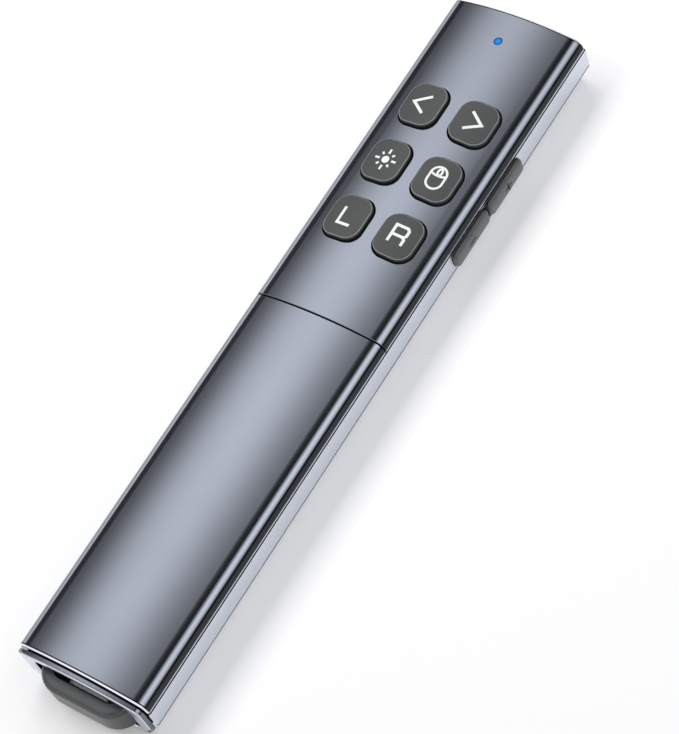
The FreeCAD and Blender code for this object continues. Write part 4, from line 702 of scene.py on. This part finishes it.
# Side keys. Two moulded keys of the same plastic on one side, for louder and quieter, with
# their signs raised a hair. Their faces are painted lighter below, a painted reflection of the
# floor, and the slit along their tops is painted dark as shade.
side_painted_reflection, side_light_fade = (0.22, 0.23, 0.225), 3.2
side_light_height = (-far, 7.6)
slit_painted_shade, slit_softness = (0.012, 0.012, 0.014), 0.12
slit_side, slit_height = (-far, 13.3), (7.2, far)
side_finish = Finish("side_key_plastic")
side_finish.shades((0.070, 0.074, 0.076), (0.084, 0.088, 0.089), clouds=300)
side_finish.grains(6000, 0.36, 0.46, 0.003 * mm)
# Painted reflection of the floor low on the faces, and painted shade in the slit along the tops.
side_finish.paints_box(side_painted_reflection, z=side_light_height, softness=side_light_fade)
side_finish.paints_box(slit_painted_shade, x=slit_side, z=slit_height, softness=slit_softness)
finish_nodes(side_finish.material, "volume_up_key", "volume_down_key")

side_sign_finish = Finish("raised_side_sign")
side_sign_finish.shades((0.003, 0.003, 0.004), (0.005, 0.005, 0.006))
side_sign_finish.grains(5000, 0.4, 0.5, 0.002 * mm)
side_sign_half = 1.0 * mm
side_sign_width = 0.4 * mm
for name in ("volume_up_key", "volume_down_key"):
    low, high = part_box(name)
    middle_y = (low[1] + high[1]) / 2
    middle_z = (low[2] + high[2]) / 2
    face_x = high[0] - ink_height / 4

    def on_side(point, middle_y=middle_y, middle_z=middle_z, face_x=face_x):
        return (face_x, middle_y + point.x, middle_z + point.y)

    bars = [([(-side_sign_half, 0), (side_sign_half, 0)], False)]
    if name == "volume_up_key":
        bars.append(([(0, -side_sign_half), (0, side_sign_half)], False))
    body = name.removesuffix("_key")
    printed_sign(name + "_sign", body, side_sign_finish.material, bars, [], side_sign_width, on_side)

# Power knob, slide switch and charge socket, on the side away from the side keys. The knob is
# moulded with grip grooves. The socket and the receiver's plugs are drawn shells with a nickel
# plate round black mouldings, and the C plug has a satin lip.
knob_finish = Finish("switch_knob_plastic")
knob_finish.shades((0.035, 0.036, 0.038), (0.045, 0.046, 0.048))
knob_finish.grains(6000, 0.4, 0.5, 0.003 * mm)
finish_nodes(knob_finish.material, "power_knob", "power_switch")

lip_shade, lip_rough, lip_length = (0.97, 0.97, 0.98), 0.55, 1.3
lip_span = (-far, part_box("c_plug_shell")[0][1] / mm + lip_length)
plate_finish = Finish("bright_nickel", metallic=1.0)
lip_finish = Finish("bright_nickel_with_satin_lip", metallic=1.0)
for nickel_finish in (plate_finish, lip_finish):
    nickel_finish.shades((0.80, 0.80, 0.80), (0.84, 0.84, 0.84))
    nickel_finish.grains(5000, 0.10, 0.16, 0.001 * mm)
lip_finish.paints_box(lip_shade, lip_rough, y=lip_span)
finish_nodes(plate_finish.material, "charge_port_shell", "a_plug_shell")
finish_nodes(lip_finish.material, "c_plug_shell")

core_finish = Finish("black_moulding")
core_finish.shades((0.012, 0.012, 0.012), (0.018, 0.018, 0.018))
core_finish.grains(6000, 0.4, 0.55, 0.003 * mm)
finish_nodes(core_finish.material, "charge_port_tongue", "c_plug_core", "a_plug_tongue")

# Status light. A clear moulded light pipe shows at the cover, lit blue by the small light on
# the board under it. Its middle is lighter than its rim.
light_finish = Finish("blue_light_pipe")
light_finish.shades((0.001, 0.03, 0.20), (0.002, 0.04, 0.24))
light_finish.grains(3000, 0.2, 0.3, 0.001 * mm)
pipe_low, pipe_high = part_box("light_pipe")
pipe_place = light_finish.tree.nodes.new("ShaderNodeTexCoord")
pipe_axis = light_finish.tree.nodes.new("ShaderNodeCombineXYZ")
pipe_axis.inputs["X"].default_value = (pipe_low[0] + pipe_high[0]) / 2
pipe_axis.inputs["Y"].default_value = (pipe_low[1] + pipe_high[1]) / 2
pipe_flat = light_finish.tree.nodes.new("ShaderNodeVectorMath")
pipe_flat.operation = "MULTIPLY"
pipe_flat.inputs[1].default_value = (1, 1, 0)
pipe_away = light_finish.tree.nodes.new("ShaderNodeVectorMath")
pipe_away.operation = "DISTANCE"
light_finish.tree.links.new(pipe_place.outputs["Object"], pipe_flat.inputs[0])
light_finish.tree.links.new(pipe_flat.outputs[0], pipe_away.inputs[0])
light_finish.tree.links.new(pipe_axis.outputs[0], pipe_away.inputs[1])
pipe_glow = light_finish.tree.nodes.new("ShaderNodeValToRGB")
middle_blue, middle_share = (0.0, 0.42, 0.95, 1), 0.3
rim_blue, rim_share = (0.0, 0.04, 0.30, 1), 0.72
pipe_stops = pipe_glow.color_ramp.elements
pipe_stops[0].color = middle_blue
pipe_stops[1].color = rim_blue
pipe_stops[0].position = middle_share
pipe_stops[1].position = rim_share
pipe_share = light_finish.tree.nodes.new("ShaderNodeMapRange")
pipe_share.inputs["From Max"].default_value = (pipe_high[0] - pipe_low[0]) / 2
light_finish.tree.links.new(pipe_away.outputs["Value"], pipe_share.inputs["Value"])
light_finish.tree.links.new(pipe_share.outputs["Result"], pipe_glow.inputs["Fac"])
light_finish.tree.links.new(pipe_glow.outputs["Color"], light_finish.shader.inputs["Emission Color"])
light_finish.shader.inputs["Emission Strength"].default_value = 0.6
light_finish.shader.inputs["Specular IOR Level"].default_value = 0.15
finish_nodes(light_finish.material, "light_pipe")

lamp_finish = Finish("clear_light_body", coat=0.4)
lamp_finish.shades((0.78, 0.77, 0.62), (0.84, 0.83, 0.70), clouds=2000)
lamp_finish.grains(8000, 0.15, 0.25, 0.001 * mm)
finish_nodes(lamp_finish.material, "status_led")

# Laser. A brass barrel turned on a lathe holds the diode's can and a clear lens, and shines
# out through a clear window glued into the head.
barrel_finish = Finish("turned_brass", metallic=1.0)
barrel_finish.shades((0.68, 0.49, 0.20), (0.76, 0.57, 0.27), clouds=400)
barrel_finish.lines((300, 9000, 300), 0.16, 0.34, 0.004 * mm)
finish_nodes(barrel_finish.material, "laser_barrel", "laser_diode")

clear_finish = Finish("clear_moulding")
clear_finish.shades((0.88, 0.92, 0.95), (0.92, 0.95, 0.97), clouds=60)
clear_finish.grains(2000, 0.02, 0.05, 0.0005 * mm)
clear_finish.shader.inputs["Transmission Weight"].default_value = 0.9
clear_finish.shader.inputs["IOR"].default_value = 1.49
finish_nodes(clear_finish.material, "laser_lens", "laser_window")

# Circuit boards, chips and screws. The boards are glass fibre under green solder mask, with
# copper tracks that show through as paler lines, and black chips. Turned steel screws hold the
# main board, and turned steel pins carry the receiver's loop.
track_height = 0.02 * mm
board_finish = Finish("green_solder_mask", coat=0.35)
board_finish.shades((0.008, 0.066, 0.026), (0.012, 0.086, 0.036), clouds=700)
board_finish.grains(6000, 0.28, 0.42, 0.003 * mm)
track_place = board_finish.tree.nodes.new("ShaderNodeTexCoord")
tracks = board_finish.tree.nodes.new("ShaderNodeTexBrick")
tracks.inputs["Scale"].default_value = 260
tracks.inputs["Mortar Size"].default_value = 0.05
tracks.inputs["Mortar Smooth"].default_value = 0.2
board_finish.tree.links.new(track_place.outputs["Object"], tracks.inputs["Vector"])
board_finish.paints(tracks.outputs["Fac"], (0.03, 0.17, 0.07))
board_finish.bumps(tracks.outputs["Fac"], track_height)
finish_nodes(board_finish.material, "main_board", "receiver_board")

chip_finish = Finish("chip_moulding")
chip_finish.shades((0.016, 0.016, 0.017), (0.024, 0.024, 0.025), clouds=900)
chip_finish.grains(9000, 0.5, 0.65, 0.006 * mm)
finish_nodes(chip_finish.material, "controller_chip", "charger_chip")

steel_finish = Finish("turned_steel", metallic=1.0)
steel_finish.shades((0.54, 0.54, 0.55), (0.62, 0.62, 0.62), clouds=500)
steel_finish.lines((6000, 6000, 9000), 0.2, 0.36, 0.003 * mm)
finish_nodes(steel_finish.material, "board_screws", "loop_pins")

# Key switches and plungers. Each key works a small black moulded switch, through an ivory
# plunger in the key's boss.
switch_finish = Finish("switch_moulding")
switch_finish.shades((0.020, 0.020, 0.021), (0.030, 0.030, 0.031), clouds=900)
switch_finish.grains(7000, 0.4, 0.55, 0.004 * mm)
switch_names = [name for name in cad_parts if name.startswith("switch_key_")]
finish_nodes(switch_finish.material, "volume_up_switch", "volume_down_switch", *switch_names)

plunger_finish = Finish("ivory_moulding")
plunger_finish.shades((0.58, 0.55, 0.46), (0.64, 0.61, 0.52), clouds=600)
plunger_finish.grains(6000, 0.38, 0.5, 0.003 * mm)
plunger_names = [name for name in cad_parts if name.startswith("plunger_key_")]
finish_nodes(plunger_finish.material, "volume_up_plunger", "volume_down_plunger", *plunger_names)

# Battery. A laminate pouch with amber tape across its tab end, on a foam pad, joined to the
# board by two nickel tabs.
tape_shade, tape_rough, tape_width = (0.52, 0.22, 0.03), 0.25, 3.2
tape_span = (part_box("battery_cell")[1][1] / mm - tape_width, far)
cell_finish = Finish("laminate_pouch", metallic=1.0)
cell_finish.shades((0.58, 0.59, 0.61), (0.68, 0.69, 0.71), clouds=300)
cell_finish.grains(700, 0.22, 0.4, 0.03 * mm)
cell_finish.paints_box(tape_shade, tape_rough, y=tape_span)
finish_nodes(cell_finish.material, "battery_cell")

pad_finish = Finish("foam_pad")
pad_finish.shades((0.035, 0.035, 0.037), (0.06, 0.06, 0.062), clouds=1800)
pad_finish.grains(2600, 0.8, 0.95, 0.06 * mm)
finish_nodes(pad_finish.material, "battery_pad")

tab_finish = Finish("nickel_strip", metallic=1.0)
tab_finish.shades((0.62, 0.61, 0.58), (0.70, 0.69, 0.66), clouds=500)
tab_finish.lines((9000, 300, 300), 0.2, 0.35, 0.002 * mm)
finish_nodes(tab_finish.material, "battery_tabs")

# Receiver. Its case and its loop, and the dock that it parks in, are moulded in fine matte
# dark grey plastic. The contacts on its A plug's tongue are gold plated.
case_finish = Finish("fine_matte_grey")
case_finish.shades((0.058, 0.061, 0.063), (0.068, 0.071, 0.073), clouds=300)
case_finish.grains(7000, 0.27, 0.35, 0.003 * mm)
finish_nodes(case_finish.material, "receiver_case", "receiver_loop", "receiver_dock")

gold_finish = Finish("gold_plate", metallic=1.0)
gold_finish.shades((0.80, 0.56, 0.22), (0.86, 0.63, 0.29), clouds=500)
gold_finish.lines((9000, 300, 300), 0.14, 0.26, 0.001 * mm)
finish_nodes(gold_finish.material, "a_plug_contacts")
